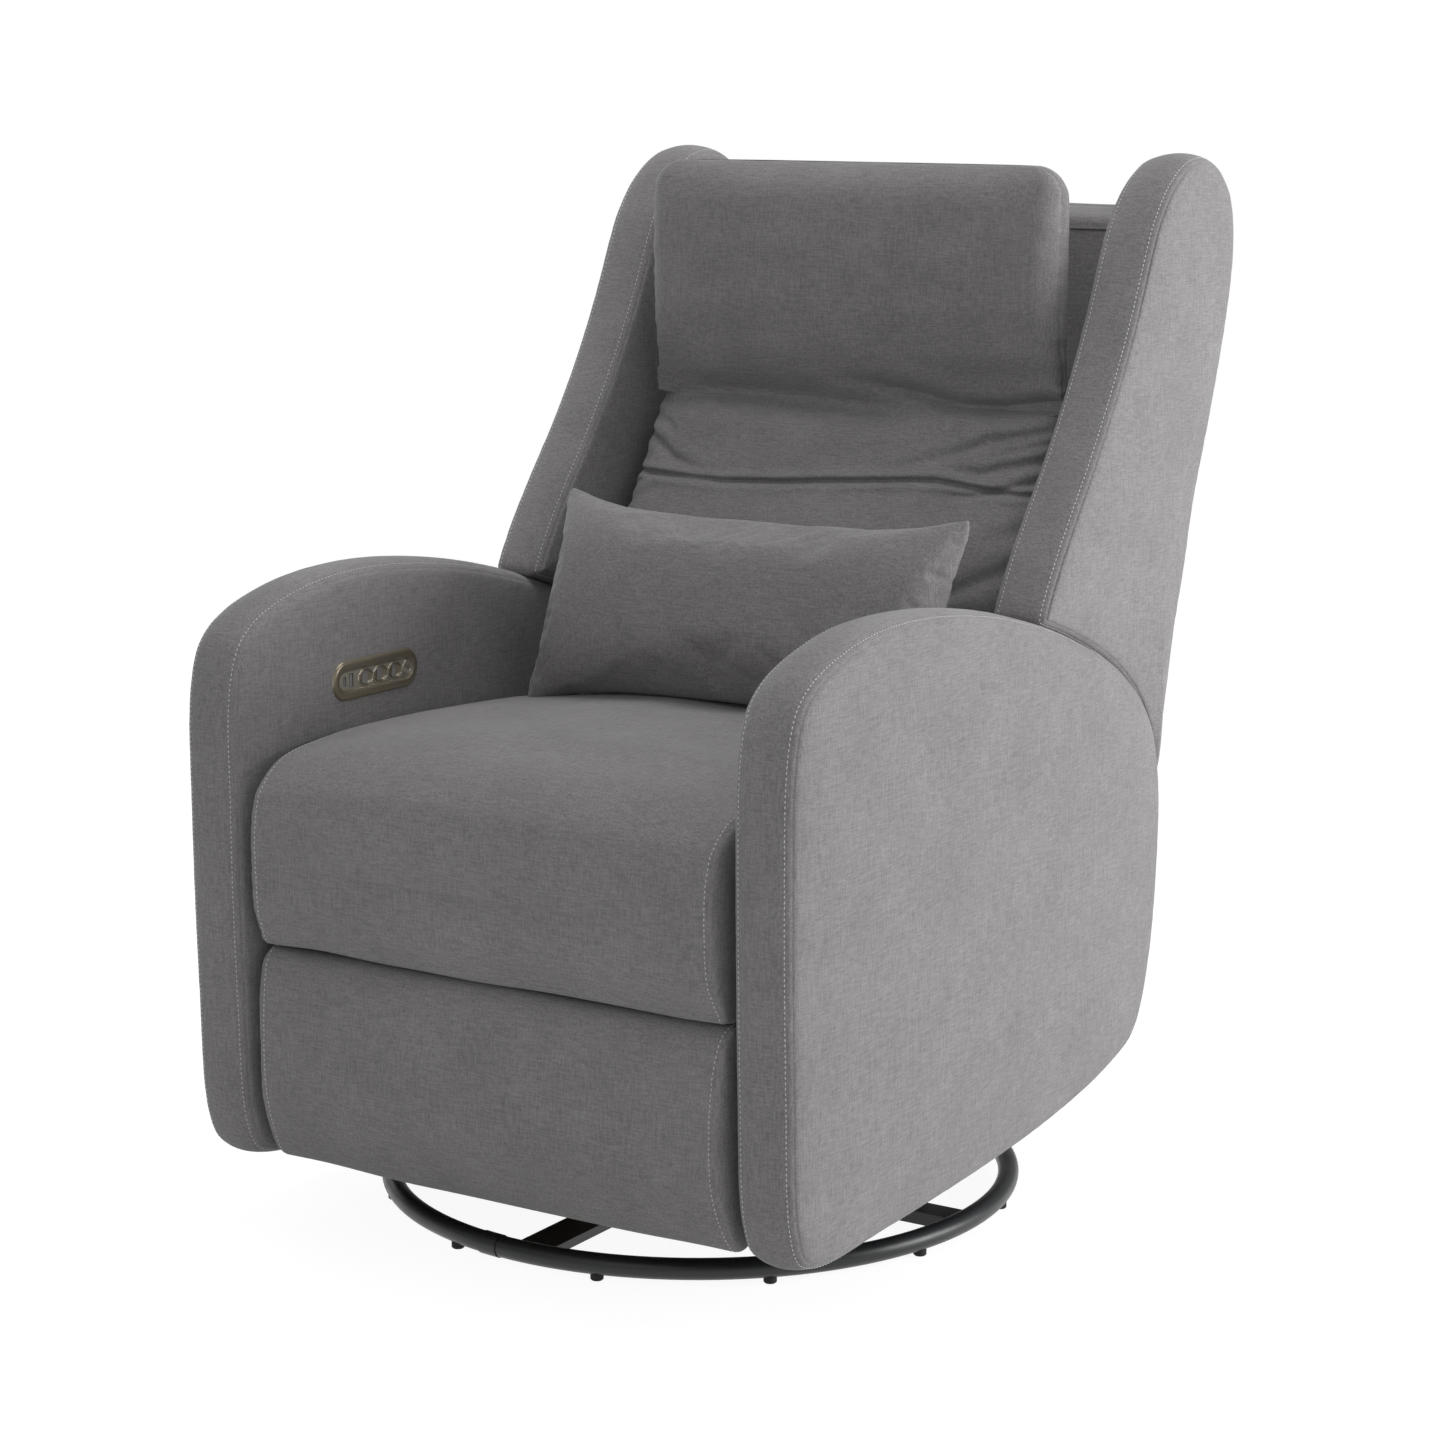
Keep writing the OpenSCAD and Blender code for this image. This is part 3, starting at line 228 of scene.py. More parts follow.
def eased(knots, at, width):
    """A curve through (place, value) knots, rounded over a width, read at the places."""
    knots = np.array(knots, float)
    taps = np.linspace(-1, 1, 9)
    weights = np.cos(taps * math.pi / 2) + 0.05
    values = [np.interp(at + tap * width, knots[:, 0], knots[:, 1]) for tap in taps]
    return np.average(values, axis=0, weights=weights)


def corner(away, radius):
    """How far a rounded corner is drawn in at places given by their distance from the end."""
    fall = np.clip(1 - np.maximum(away, 0) / radius, 0, 1)
    return radius * (1 - np.sqrt(1 - 0.998 * fall ** 2))


def ripple(run, length, seed):
    """An uneven ripple of about one length, between -1 and 1."""
    draw = np.random.default_rng(seed)
    value = np.zeros_like(run)
    for share in (0.71, 1, 1.37, 1.9):
        size, start = draw.uniform(0.5, 1), draw.uniform(0, 6.28)
        value += size * np.sin(2 * math.pi * run / (length * share) + start)
    return value / 2.4


def drift(points, length, seed):
    """A smooth uneven swell over points in space, between about -1 and 1."""
    draw = np.random.default_rng(seed)
    value = np.zeros(points.shape[:-1])
    for _ in range(7):
        way = draw.normal(size=3)
        way *= 2 * math.pi / (np.linalg.norm(way) * length * draw.uniform(0.7, 1.5))
        value += np.sin(points @ way + draw.uniform(0, 6.28))
    return value / 3.2


def skin(rings):
    """A closed mesh over rings of points: a grid laid on them and welded."""
    rings = np.asarray(rings, float)
    m, n = rings.shape[:2]
    bm = bmesh.new()
    bmesh.ops.create_grid(bm, x_segments=n, y_segments=m - 1, size=1)
    places = np.concatenate([rings, rings[:, :1]], axis=1).reshape(-1, 3)
    for v, co in zip(bm.verts, places):
        v.co = co
    bmesh.ops.remove_doubles(bm, verts=bm.verts, dist=2e-6)
    bmesh.ops.recalc_face_normals(bm, faces=bm.faces)
    return bm


def as_object(name, bm, material, smooth=True):
    """Makes a mesh object of the bmesh, at the origin."""
    mesh = bpy.data.meshes.new(name)
    for f in bm.faces:
        f.smooth = smooth
    bm.to_mesh(mesh)
    bm.free()
    mesh.materials.append(material)
    piece = bpy.data.objects.new(name, mesh)
    bpy.context.scene.collection.objects.link(piece)
    return piece


def place(piece, body, stands_for=()):
    """Puts a piece on its body, and hides the solids that it stands for."""
    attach(piece, body)
    if stands_for:
        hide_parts(*stands_for)
    return piece


def sew(bm, row, normals, cloth, closed=True):
    """Adds thread stitches along a row of points."""
    pitch, length = cloth.stitch_pitch, cloth.stitch_length
    path = np.vstack([row, row[:1]]) if closed else row
    ways = np.vstack([normals, normals[:1]]) if closed else normals
    run = np.concatenate([[0], np.cumsum(np.linalg.norm(np.diff(path, axis=0), axis=1))])
    count = max(1, int(run[-1] / pitch))
    thread = bmesh.new()
    bmesh.ops.create_uvsphere(thread, u_segments=6, v_segments=4, radius=1)
    stitch = bpy.data.meshes.new("stitch")
    for at in (np.arange(count) + 0.5) * run[-1] / count:
        ends = (at - length / 2, at + length / 2)
        here = [np.array([np.interp(end, run, path[:, k]) for k in range(3)]) for end in ends]
        up = Vector([np.interp(at, run, ways[:, k]) for k in range(3)]).normalized()
        along = Vector(here[1] - here[0]).normalized()
        side = up.cross(along).normalized()
        turn = Matrix((along, side, along.cross(side))).transposed().to_4x4()
        spot = Matrix.Translation(Vector((here[0] + here[1]) / 2)) @ turn
        spot = spot @ Matrix.Diagonal((length / 2, *THREAD, 1))
        thread.to_mesh(stitch)
        stitch.transform(spot)
        bm.from_mesh(stitch)
    thread.free()
    bpy.data.meshes.remove(stitch)


class Boxed:
    """A padded piece with a band between two seams and two sides that swell beyond them.

    loop is the seams' line as (Y, Z), and middle is the point that the sides close on. x0 and x1
    are the seams' places, crown is how far the band swells and swell how far each side does.
    reach is how soon a side has swelled, and groove how deep a seam is drawn in. pucker is the
    depth of the gathers beside a seam, and where is their share along it. shape is the crown's
    power, and swim the unevenness of the cloth.
    """

    def __init__(self, loop, middle, x0, x1, crown, swell, **more):
        self.loop, self.middle = loop, np.array(middle)
        self.x0, self.x1, self.swell = x0, x1, swell
        self.out = outward(loop)
        self.crown = crown
        self.reach = more.get("reach", 28 * MM)
        self.groove = more.get("groove", 1.7 * MM)
        self.pucker = more.get("pucker", 0.25 * MM)
        self.pucker_length = more.get("pucker_length", 26 * MM)
        self.pucker_reach = more.get("pucker_reach", 13 * MM)
        self.where = more.get("where", np.ones(len(loop)))
        self.band_steps = more.get("band_steps", 30)
        self.side_steps = more.get("side_steps", 26)
        self.swim = more.get("swim", 0.6 * MM)
        self.inset = more.get("inset", 7 * MM)
        self.seed = more.get("seed", 1)
        self.shape = more.get("shape", 2.4)
        self.run = np.concatenate([[0], np.cumsum(np.linalg.norm(np.diff(loop, axis=0), axis=1))])

    def dip(self, d):
        """How far the cloth is drawn into a seam at a distance from it."""
        return self.groove * np.exp(-d / (1.5 * self.groove))

    def gathers(self, side, e, reach):
        """The gathers at a distance e from one seam, which fade out over the reach."""
        pleats = self.pucker * self.where * ripple(self.run, self.pucker_length, self.seed + side)
        return pleats * (1 - np.exp(-e / (2 * MM))) * np.exp(-e / reach)

    def band(self, t):
        """The ring on the band at a share of the way from the first seam to the second."""
        width = self.x1 - self.x0
        near, far = t * width, (1 - t) * width
        rise = self.crown * (1 - abs(2 * t - 1) ** self.shape)
        for side, e in ((0, near), (1, far)):
            rise = rise - self.dip(e) - SINK * np.exp(-(((e - self.inset) / (1.3 * MM)) ** 2))
            rise = rise + self.gathers(side, e, self.pucker_reach)
        x = self.x0 + near + self.dip(near) - self.dip(far)
        flat = self.loop + self.out * np.reshape(rise, (-1, 1))
        ring = np.column_stack([x * np.ones(len(self.loop)), flat])
        calm = 1 - np.exp(-np.minimum(near, far) / (12 * MM))
        wave = self.swim * calm * drift(ring, 140 * MM, self.seed + 7)
        ring[:, 1:] += self.out * np.reshape(wave, (-1, 1))
        return ring

    def side(self, share, sign):
        """A ring of one side, at a share of the way from its middle to its seam."""
        arm = self.loop - self.middle
        e = (1 - share) * np.linalg.norm(arm, axis=1)
        dip = self.dip(e)
        flat = self.middle + arm * share - self.out * dip[:, None]
        seam = (self.x0 if sign < 0 else self.x1) * np.ones(len(e))
        swell = self.swell * np.ones(len(e))
        seam = seam.mean() + share * (seam - seam.mean())
        rise = (swell.mean() + share * (swell - swell.mean())) * (1 - np.exp(-e / self.reach))
        rise += self.gathers(sign < 0, e, 0.8 * self.pucker_reach)
        calm = min(1, share / 0.6) ** 2
        rise = calm * rise + (1 - calm) * rise.mean()
        ring = np.column_stack([seam + sign * (rise - dip), flat])
        calm = 1 - np.exp(-e / (15 * MM))
        ring[:, 0] += sign * self.swim * calm * drift(ring, 160 * MM, self.seed + 3)
        return ring

    def rings(self):
        """All the rings, from one side's middle to the other's."""
        shares = np.sin(np.linspace(0, math.pi / 2, self.side_steps))
        steps = (0.5 - 0.5 * np.cos(np.linspace(0, math.pi, self.band_steps))) * 0.55
        steps += np.linspace(0, 1, self.band_steps) * 0.45
        left = [self.side(s, -1) for s in shares[:-1]]
        right = [self.side(s, 1) for s in shares[:-1][::-1]]
        return np.array(left + [self.band(t) for t in steps] + right)

    def stitches(self, bm, cloth, part=None):
        """Sews the band's two rows, or the part of each that is given by its points."""
        share = self.inset / (self.x1 - self.x0)
        for t in (share, 1 - share):
            row = self.band(t)
            ways = np.column_stack([np.zeros(len(row)), self.out])
            row = row + ways * 0.3 * MM
            if part is None:
                sew(bm, row, ways, cloth)
            else:
                sew(bm, row[part], ways[part], cloth, closed=False)


# ----------------------------------------------------------------- materials


def woven_cloth(name, colour):
    """Brushed polyester upholstery cloth: a plain weave of heathered yarns with a soft nap."""
    material, tree, shader, place_of = new_material(name)
    streaks = None
    # Yarns are 0.6 mm apart, and are drawn about 1.5 mm apart so that they show.
    for scale in ((60, 660, 660), (660, 60, 660), (660, 660, 60)):
        turned = add(tree, "ShaderNodeMapping", {"Vector": place_of, "Scale": scale}).outputs[0]
        run = noise(tree, turned, 1, 1.5, Roughness=0.6)
        if streaks is None:
            streaks = run
        else:
            streaks = add(tree, "ShaderNodeMath", {0: streaks, 1: run}, operation="ADD").outputs[0]
    yarn = ranged(tree, streaks, 1.2, 1.8, 0.80, 1.19)
    # The nap is brushed unevenly, which leaves lighter and darker areas.
    patch = ranged(tree, noise(tree, place_of, 14, 4, Roughness=0.55), 0.3, 0.7, 0.94, 1.06)
    both = add(tree, "ShaderNodeMath", {0: yarn, 1: patch}, operation="MULTIPLY").outputs[0]
    inputs = {0: linear(colour)[:3], "Scale": both}
    heather = add(tree, "ShaderNodeVectorMath", inputs, operation="SCALE").outputs[0]
    surface(tree, shader, heather, streaks, 0.35, 0.4 * MM, Roughness=0.92)
    shader.inputs["Specular IOR Level"].default_value = 0.15
    shader.inputs["Sheen Weight"].default_value = 0.22
    shader.inputs["Sheen Roughness"].default_value = 0.45
    return material


def spun_thread(name, colour):
    """Twisted polyester sewing thread with a slight gloss; its plies repeat every 0.35 mm."""
    material, tree, shader, place_of = new_material(name)
    inputs = {"Vector": place_of, "Scale": 900, "Distortion": 1.5, "Detail": 1}
    plies = add(tree, "ShaderNodeTexWave", inputs).outputs["Fac"]
    spun = mixed(tree, plies, shade(colour, 0.8), linear(colour))
    tree.links.new(spun, shader.inputs["Base Color"])
    shader.inputs["Roughness"].default_value = 0.6
    return material


def coated_metal(name, colour, rough, metal, grain, depth):
    """Steel or zinc with a coat: powder coat is fine orange peel, plating is nearly smooth."""
    material, tree, shader, place_of = new_material(name)
    peel = noise(tree, place_of, grain, 3, Roughness=0.6)
    # Handling wears the coat in patches of about 5 cm.
    worn = noise(tree, place_of, 22, 5, Roughness=0.6)
    coat = mixed(tree, worn, shade(colour, 0.88), shade(colour, 1.12))
    surface(tree, shader, coat, peel, depth, 0.15 * MM, Metallic=metal)
    gloss = ranged(tree, worn, 0.3, 0.7, rough - 0.05, rough + 0.07)
    tree.links.new(gloss, shader.inputs["Roughness"])
    return material


def moulded_plastic(name, colour, rough):
    """Moulded ABS or rubber with a spark-eroded grain of about 1 mm."""
    material, tree, shader, place_of = new_material(name)
    inputs = {"Vector": place_of, "Scale": 1100, "Randomness": 1}
    grain = add(tree, "ShaderNodeTexVoronoi", inputs).outputs["Distance"]
    cloud = noise(tree, place_of, 35, 3)
    body = mixed(tree, cloud, shade(colour, 0.85), shade(colour, 1.15))
    surface(tree, shader, body, grain, 0.25, 0.1 * MM, Roughness=rough)
    return material


def bare_wood(name, light, dark, scale):
    """Bare pine or plywood: long growth bands along the board and short pores."""
    material, tree, shader, place_of = new_material(name)
    turned = add(tree, "ShaderNodeMapping", {"Vector": place_of, "Scale": scale}).outputs[0]
    bands = noise(tree, turned, 1, 6, Roughness=0.65, Distortion=0.4)
    grown = mixed(tree, bands, linear(dark), linear(light))
    surface(tree, shader, grown, bands, 0.3, 0.3 * MM, Roughness=0.7)
    return material


def woven_webbing(name):
    """Elastic webbing: rubber cores under a ribbed black jacket."""
    material, tree, shader, place_of = new_material(name)
    # The ribs are 2.4 mm apart, and the picks cross them every millimetre.
    inputs = {"Vector": place_of, "Scale": 130, "Distortion": 0.4}
    ribs = add(tree, "ShaderNodeTexWave", inputs, bands_direction="X").outputs["Fac"]
    inputs = {"Vector": place_of, "Scale": 300, "Distortion": 0.3}
    picks = add(tree, "ShaderNodeTexWave", inputs, bands_direction="Y").outputs["Fac"]
    weave = add(tree, "ShaderNodeMath", {0: ribs, 1: picks}, operation="MULTIPLY").outputs[0]
    jacket = mixed(tree, weave, linear("1c1c1d"), linear("454547"))
    surface(tree, shader, jacket, weave, 0.5, 0.5 * MM, Roughness=0.85)
    return material


def brushed_paint(name, colour, rough):
    """Metallic champagne paint over fine brushing along the panel."""
    material, tree, shader, place_of = new_material(name)
    inputs = {"Vector": place_of, "Scale": (900, 40, 2200)}
    turned = add(tree, "ShaderNodeMapping", inputs).outputs[0]
    lines = noise(tree, turned, 1, 3, Roughness=0.6)
    paint = mixed(tree, lines, shade(colour, 0.82), shade(colour, 1.2))
    surface(tree, shader, paint, lines, 0.15, 0.1 * MM, Metallic=0.85, Roughness=rough)
    return material


def cloth_of(context):
    """The cover cloth, made once."""
    found = bpy.data.materials.get("brushed_upholstery_cloth")
    return found or woven_cloth("brushed_upholstery_cloth", context.scene.glider_cloth.colour)


def thread_of(context):
    """The topstitching thread, made once."""
    found = bpy.data.materials.get("topstitch_thread")
    return found or spun_thread("topstitch_thread", context.scene.glider_cloth.thread)


# ------------------------------------------------------------ outlines, pieces

# The arm's and the wing's seam lines, as shares of a box in (Y, Z), up the front and down the rear.
ARM = [
    [0.073, 0], [0.016, 0.07], [0.004, 0.31], [0, 0.631], [0.005, 0.836], [0.043, 0.934],
    [0.155, 0.986], [0.29, 1], [0.453, 0.98], [0.602, 0.939], [0.752, 0.877], [0.881, 0.799],
    [0.966, 0.702], [0.999, 0.578], [1, 0.417], [0.982, 0.248], [0.942, 0.123],
    [0.867, 0.075], [0.725, 0.039], [0.521, 0.014], [0.25, 0],
]
WING = [
    [0, 0.3], [0.057, 0.375], [0.154, 0.463], [0.254, 0.547], [0.354, 0.642], [0.454, 0.755],
    [0.544, 0.875], [0.591, 0.922], [0.653, 0.963], [0.741, 0.994], [0.836, 1],
    [0.919, 0.981], [0.979, 0.939], [1, 0.882], [0.995, 0.816], [0.957, 0.718],
    [0.881, 0.573], [0.805, 0.445], [0.755, 0.332], [0.705, 0.237], [0.667, 0.14],
    [0.634, 0.059], [0.608, 0], [0.45, 0.04], [0.2, 0.14], [0.03, 0.24],
]
WING_LOW = (0.039, 0.4)  # the wing's front and lowest places, as (Y, Z)
WING_DEPTH = 0.421  # from its front to its rear


def arm_loop(count):
    """The arm's seam line, fitted to the arm's solid."""
    low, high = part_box("arm_left")
    crown = 7 * MM
    size = (high.y - low.y - 2 * crown, high.z - low.z - 2 * crown)
    return closed_curve(in_box(ARM, (low.y + crown, low.z + crown), size), count)


def wing_loop(count):
    """The wing's seam line, cut along a line that runs clear of the arm."""
    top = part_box("wing_left")[1].z - 4 * MM
    fine, clear = 1600, 12.5 * MM
    loop = closed_curve(in_box(WING, WING_LOW, (WING_DEPTH, top - WING_LOW[1])), fine)
    arm = arm_loop(fine)
    arm = arm + outward(arm) * clear
    gap = loop[:, None, :] - arm[None, :, :]
    near = (gap ** 2).sum(2).argmin(1)
    inside = ((loop - arm[near]) * outward(arm)[near]).sum(1) < 0
    loop[inside] = arm[near[inside]]
    return even_steps(loop, count)


def to_chair(points):
    """Points of the back's own leaning (Y, Z) plane, in millimetres, in the chair's plane."""
    p = np.array(points, float) * MM
    foot_y, foot_z = 0.295, 0.4
    return np.column_stack([
        foot_y + p[:, 0] * math.cos(TILT) + p[:, 1] * math.sin(TILT),
        foot_z - p[:, 0] * math.sin(TILT) + p[:, 1] * math.cos(TILT),
    ])


def covered(name, form, body, context, stands_for, part=None, stitched=True):
    """Makes a covered piece of a boxed form, with its stitches."""
    piece = as_object(name, skin(form.rings()), cloth_of(context))
    place(piece, body, stands_for)
    if stitched:
        bm = bmesh.new()
        form.stitches(bm, context.scene.glider_cloth, part)
        place(as_object(name + "_stitches", bm, thread_of(context)), body)
    return piece


def flipped(bm):
    """Turns a mesh into its mirror image on the chair's other side."""
    bmesh.ops.scale(bm, vec=(-1, 1, 1), verts=bm.verts)
    bmesh.ops.reverse_faces(bm, faces=bm.faces)
    return bm


def mirrored(piece, name, body, stands_for=()):
    """The same piece on the chair's other side."""
    bm = bmesh.new()
    bm.from_mesh(piece.data)
    other = as_object(name, flipped(bm), piece.data.materials[0])
    return place(other, body, stands_for)


def arm_lining():
    """Cloth over the edges and the rear of an arm's board, where they show past the cushions."""
    low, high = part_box("arm_boards")
    face, cloth_t, edge = 0.2653, 1.8 * MM, 5.5 * MM
    inner = (face, face + cloth_t)
    bm = bmesh.new()
    for runs in (
        (inner, (0.013, high.y + 1 * MM), (0.345, high.z + edge)),
        ((face, face + 14 * MM), (low.y, high.y), (high.z + 0.5 * MM, high.z + edge)),
        (inner, (0.184, high.y + 1 * MM), (0.2, 0.346)),
        ((face, 0.29), (high.y + 0.3 * MM, high.y + 1.8 * MM), (0.2, high.z + edge)),
    ):
        middle, size = np.mean(runs, 1), np.diff(runs, axis=1)[:, 0]
        spot = Matrix.Translation(middle) @ Matrix.Diagonal((*size, 1))
        bmesh.ops.create_cube(bm, size=1, matrix=spot)
    return bm


class GLIDER_OT_arms(bpy.types.Operator):
    """Covers both arms, each with a band between two topstitched seams"""

    bl_idname = "glider.arms"
    bl_label = "Arms"

    def execute(self, context):
        cloth = context.scene.glider_cloth
        inner_seam, outer_seam = 0.285, 0.347
        for side, seed in (("left", 11), ("right", 23)):
            loop = arm_loop(520)
            form = Boxed(
                loop, loop.mean(0), inner_seam, outer_seam, 9 * MM, 8.5 * MM, inset=cloth.stitch_inset,
                seed=seed, reach=42 * MM, pucker=0.3 * MM, shape=2.1,
            )
            cover, thread, lining = skin(form.rings()), bmesh.new(), arm_lining()
            form.stitches(thread, cloth)
            if side == "right":
                for bm in (cover, thread, lining):
                    flipped(bm)
            for name, bm, material, solids, fill in (
                ("arm_cover_", cover, cloth_of(context), ["arm_" + side], 0.85),
                ("arm_stitches_", thread, thread_of(context), (), None),
                ("arm_lining_", lining, cloth_of(context), (), 1),
            ):
                place(as_object(name + side, bm, material), "seat", solids)
        return {"FINISHED"}


class GLIDER_OT_wings(bpy.types.Operator):
    """Covers both wings, which stand on the back beside the head"""

    bl_idname = "glider.wings"
    bl_label = "Wings"

    def execute(self, context):
        inner_seam, outer_seam = 0.275, 0.336
        middle = np.array(WING_LOW) + (0.6 * WING_DEPTH, 0.32)
        form = Boxed(
            wing_loop(520), middle, inner_seam, outer_seam, 7 * MM, 8 * MM,
            inset=context.scene.glider_cloth.stitch_inset, seed=31, reach=50 * MM,
            pucker=0.3 * MM, shape=2.1,
        )
        left = covered("wing_cover_left", form, "back", context, ["wing_left"])
        mirrored(left, "wing_cover_right", "back", ["wing_right"])
        thread = bpy.data.objects["wing_cover_left_stitches"]
        mirrored(thread, "wing_cover_right_stitches", "back")
        return {"FINISHED"}


class GLIDER_OT_seat(bpy.types.Operator):
    """Covers the seat cushion, whose front rolls down to the footrest"""

    bl_idname = "glider.seat"
    bl_label = "Seat cushion"

    def execute(self, context):
        front, rear = -0.461, 0.012
        roll_low, top, under = 0.294, 0.489, 0.3724  # under the roll, the top, and on the webbing
        roll_back = -0.364
        upper = in_box([
            [0.06, 0], [0.03, 0.08], [0.009, 0.2], [0.002, 0.35], [0, 0.6], [0.013, 0.76],
            [0.03, 0.83], [0.069, 0.91], [0.119, 0.96], [0.203, 0.985], [0.337, 1], [0.585, 0.985],
            [0.808, 0.954], [0.97, 0.915], [1, 0.86],
        ], (front, roll_low), (rear - front, top - roll_low))
        lower = [
            [rear, under + 6 * MM], [rear - 8 * MM, under], [rear - 90 * MM, under],
            [roll_back + 90 * MM, under], [roll_back + 6 * MM, under], [roll_back, under - 6 * MM],
            [roll_back, roll_low + 24 * MM], [roll_back - 10 * MM, roll_low + 2 * MM],
        ]
        loop = closed_curve(list(upper) + lower, 420)
        out = outward(loop)
        crown = 22 * MM * np.clip(out[:, 1], 0, 1) ** 0.6 + 7 * MM * np.clip(-out[:, 0], 0, 1)
        crown *= loop[:, 1] > under + 10 * MM
        # The roll flares a little towards its bottom, and its gathers are deepest there.
        in_roll = loop[:, 0] < roll_back - 20 * MM
        seam = 0.2645 + 5 * MM * np.clip((0.37 - loop[:, 1]) / 0.07, 0, 1) ** 2 * in_roll
        gathers = np.clip((0.47 - loop[:, 1]) / 0.1, 0.25, 1) * (loop[:, 0] < -0.3)
        form = Boxed(
            loop, (roll_back - 45 * MM, under + 35 * MM), -seam, seam, crown, 0.2705 - seam,
            reach=9 * MM, band_steps=110, side_steps=24, seed=41, shape=2.2, pucker=1.1 * MM,
            pucker_length=17 * MM, pucker_reach=17 * MM, where=gathers, swim=1.6 * MM,
            inset=0.8 * context.scene.glider_cloth.stitch_inset,
        )
        run = np.where((loop[:, 0] < 0) & (loop[:, 1] > under + 20 * MM) | in_roll)[0]
        covered("seat_cover", form, "seat", context, ["seat_cushion"], part=run)
        return {"FINISHED"}


class GLIDER_OT_footrest(bpy.types.Operator):
    """Covers the footrest's pad, which folds down in front of the frame"""

    bl_idname = "glider.footrest"
    bl_label = "Footrest pad"

    def execute(self, context):
        rear, thick, low, top = -0.3923, 0.062, 0.074, 0.290
        loop = closed_curve(in_box([
            [0.27, 0.13], [0.06, 0.3], [0, 0.5], [0.05, 0.77], [0.19, 0.94], [0.42, 1], [0.75, 1],
            [0.98, 0.96], [0.985, 0.75], [0.985, 0.5], [0.985, 0.25], [0.98, 0.05], [0.75, 0],
            [0.5, 0.02],
        ], (rear - thick, low), (thick, top - low)), 240)
        out = outward(loop)
        crown = 5 * MM * np.clip(-out[:, 0], 0, 1)
        # The seams bow outwards at the pad's top and bottom.
        away = np.abs(2 * (loop[:, 1] - low) / (top - low) - 1)
        seam = 0.265 + 5.5 * MM * np.clip(away, 0, 1) ** 3
        form = Boxed(
            loop, (rear - 0.5 * thick, (low + top) / 2), -seam, seam, crown, 0.2725 - seam,
            reach=10 * MM, band_steps=100, side_steps=22, seed=53, pucker=0.8 * MM,
            pucker_length=19 * MM, pucker_reach=14 * MM, where=(out[:, 0] < 0.3) * 1.0,
            swim=1.0 * MM, inset=0.8 * context.scene.glider_cloth.stitch_inset,
        )
        run = np.where(loop[:, 0] < rear - 10 * MM)[0]
        covered("footrest_cover", form, "footrest", context, ["footrest_pad"], part=run)
        return {"FINISHED"}


def outer_back_form():
    """The outer back's panel, and the part of its seams that is topstitched."""
    thick, height, under = 28, 612, 60
    loop = closed_curve(to_chair([
        [-thick, -50], [-thick, 0], [-thick, 0.33 * height], [-thick, 0.66 * height],
        [-thick, height - 32], [-thick + 2, height - 12], [-thick + 8, height - 3],
        [-thick + 16, height], [-4, height - 5], [0, height - 22], [0, 0.8 * height],
        [0, 0.5 * height], [0, 0.2 * height], [0, -20], [-1, -48], [-6, -57], [-14, -under],
        [-thick + 4, -58],
    ]), 420)
    low, high = to_chair([[0, -under], [0, height]])
    length = np.linalg.norm(high - low)
    along = (loop - low) @ (high - low) / length
    half = 0.2665 - corner(np.minimum(along, length - along), 20 * MM)
    form = Boxed(
        loop, to_chair([[-thick / 2, height / 2]])[0], -half, half, 0, 8 * MM, reach=7 * MM,
        band_steps=70, side_steps=14, seed=61, swim=1.3 * MM, pucker=0.4 * MM,
    )
    rows = np.where(outward(loop)[:, 0] > 0.2)[0]
    breaks = np.diff(rows)
    if np.max(breaks) > 1:
        rows = np.roll(rows, -(np.argmax(breaks) + 1))
    return form, rows


def frame_top_form():
    """The cloth over the upper part of the back's frame, behind the head."""
    face, rear = -70.5, -24
    loop = closed_curve(to_chair([
        [face, 372], [face, 450], [face, 530], [face, 568], [-69, 580], [-63, 587], [-50, 594],
        [-32, 603], [rear, 600], [rear, 560], [rear, 480], [rear, 372], [-45, 370],
    ]), 300)
    return Boxed(
        loop, to_chair([[-46, 480]])[0], -0.263, 0.263, 0, 3 * MM, reach=5 * MM, band_steps=50,
        side_steps=10, seed=63, swim=0.8 * MM, pucker=0.3 * MM,
    )


def rear_panel_form():
    """The panel that closes the chair under the back."""
    front, low, top = 0.222, 0.106, 0.328
    rear = front + 18 * MM
    loop = closed_curve([
        [front, 0.112], [front, 0.16], [front, 0.24], [front, 0.31], [front + 2 * MM, top - 4 * MM],
        [front + 9 * MM, top], [rear - 2 * MM, top - 4 * MM], [rear, top - 18 * MM], [rear, 0.25],
        [rear, 0.19], [rear - 3 * MM, 0.13], [rear - 9 * MM, 0.108], [front + 3 * MM, low],
    ], 220)
    half = 0.249 - corner(np.minimum(loop[:, 1] - low, top - loop[:, 1]), 14 * MM)
    return Boxed(
        loop, (front + 9 * MM, 0.22), -half, half, 0, 6 * MM, reach=6 * MM, band_steps=60,
        side_steps=12, seed=67, swim=0.9 * MM, pucker=0.4 * MM,
    )


def head_rear_form():
    """The dust cover over the headrest's steel, behind the head cushion."""
    front, low, top = 0.2448, 0.802, 1.014
    loop = closed_curve([
        [front, 0.805], [front, 0.86], [front, 0.93], [front, 1.004], [0.2462, 1.012],
        [0.2505, top], [0.2555, 1.006], [0.258, 0.98], [0.2605, 0.93], [0.2635, 0.88],
        [0.2645, 0.84], [0.2625, 0.815], [0.256, 0.8035], [0.248, low],
    ], 200)
    half = 0.233 - corner(np.minimum(loop[:, 1] - low, top - loop[:, 1]), 16 * MM)
    return Boxed(
        loop, (0.251, 0.905), -half, half, 0, 2 * MM, reach=5 * MM, band_steps=50, side_steps=10,
        seed=65, swim=0.7 * MM, pucker=0.3 * MM,
    )


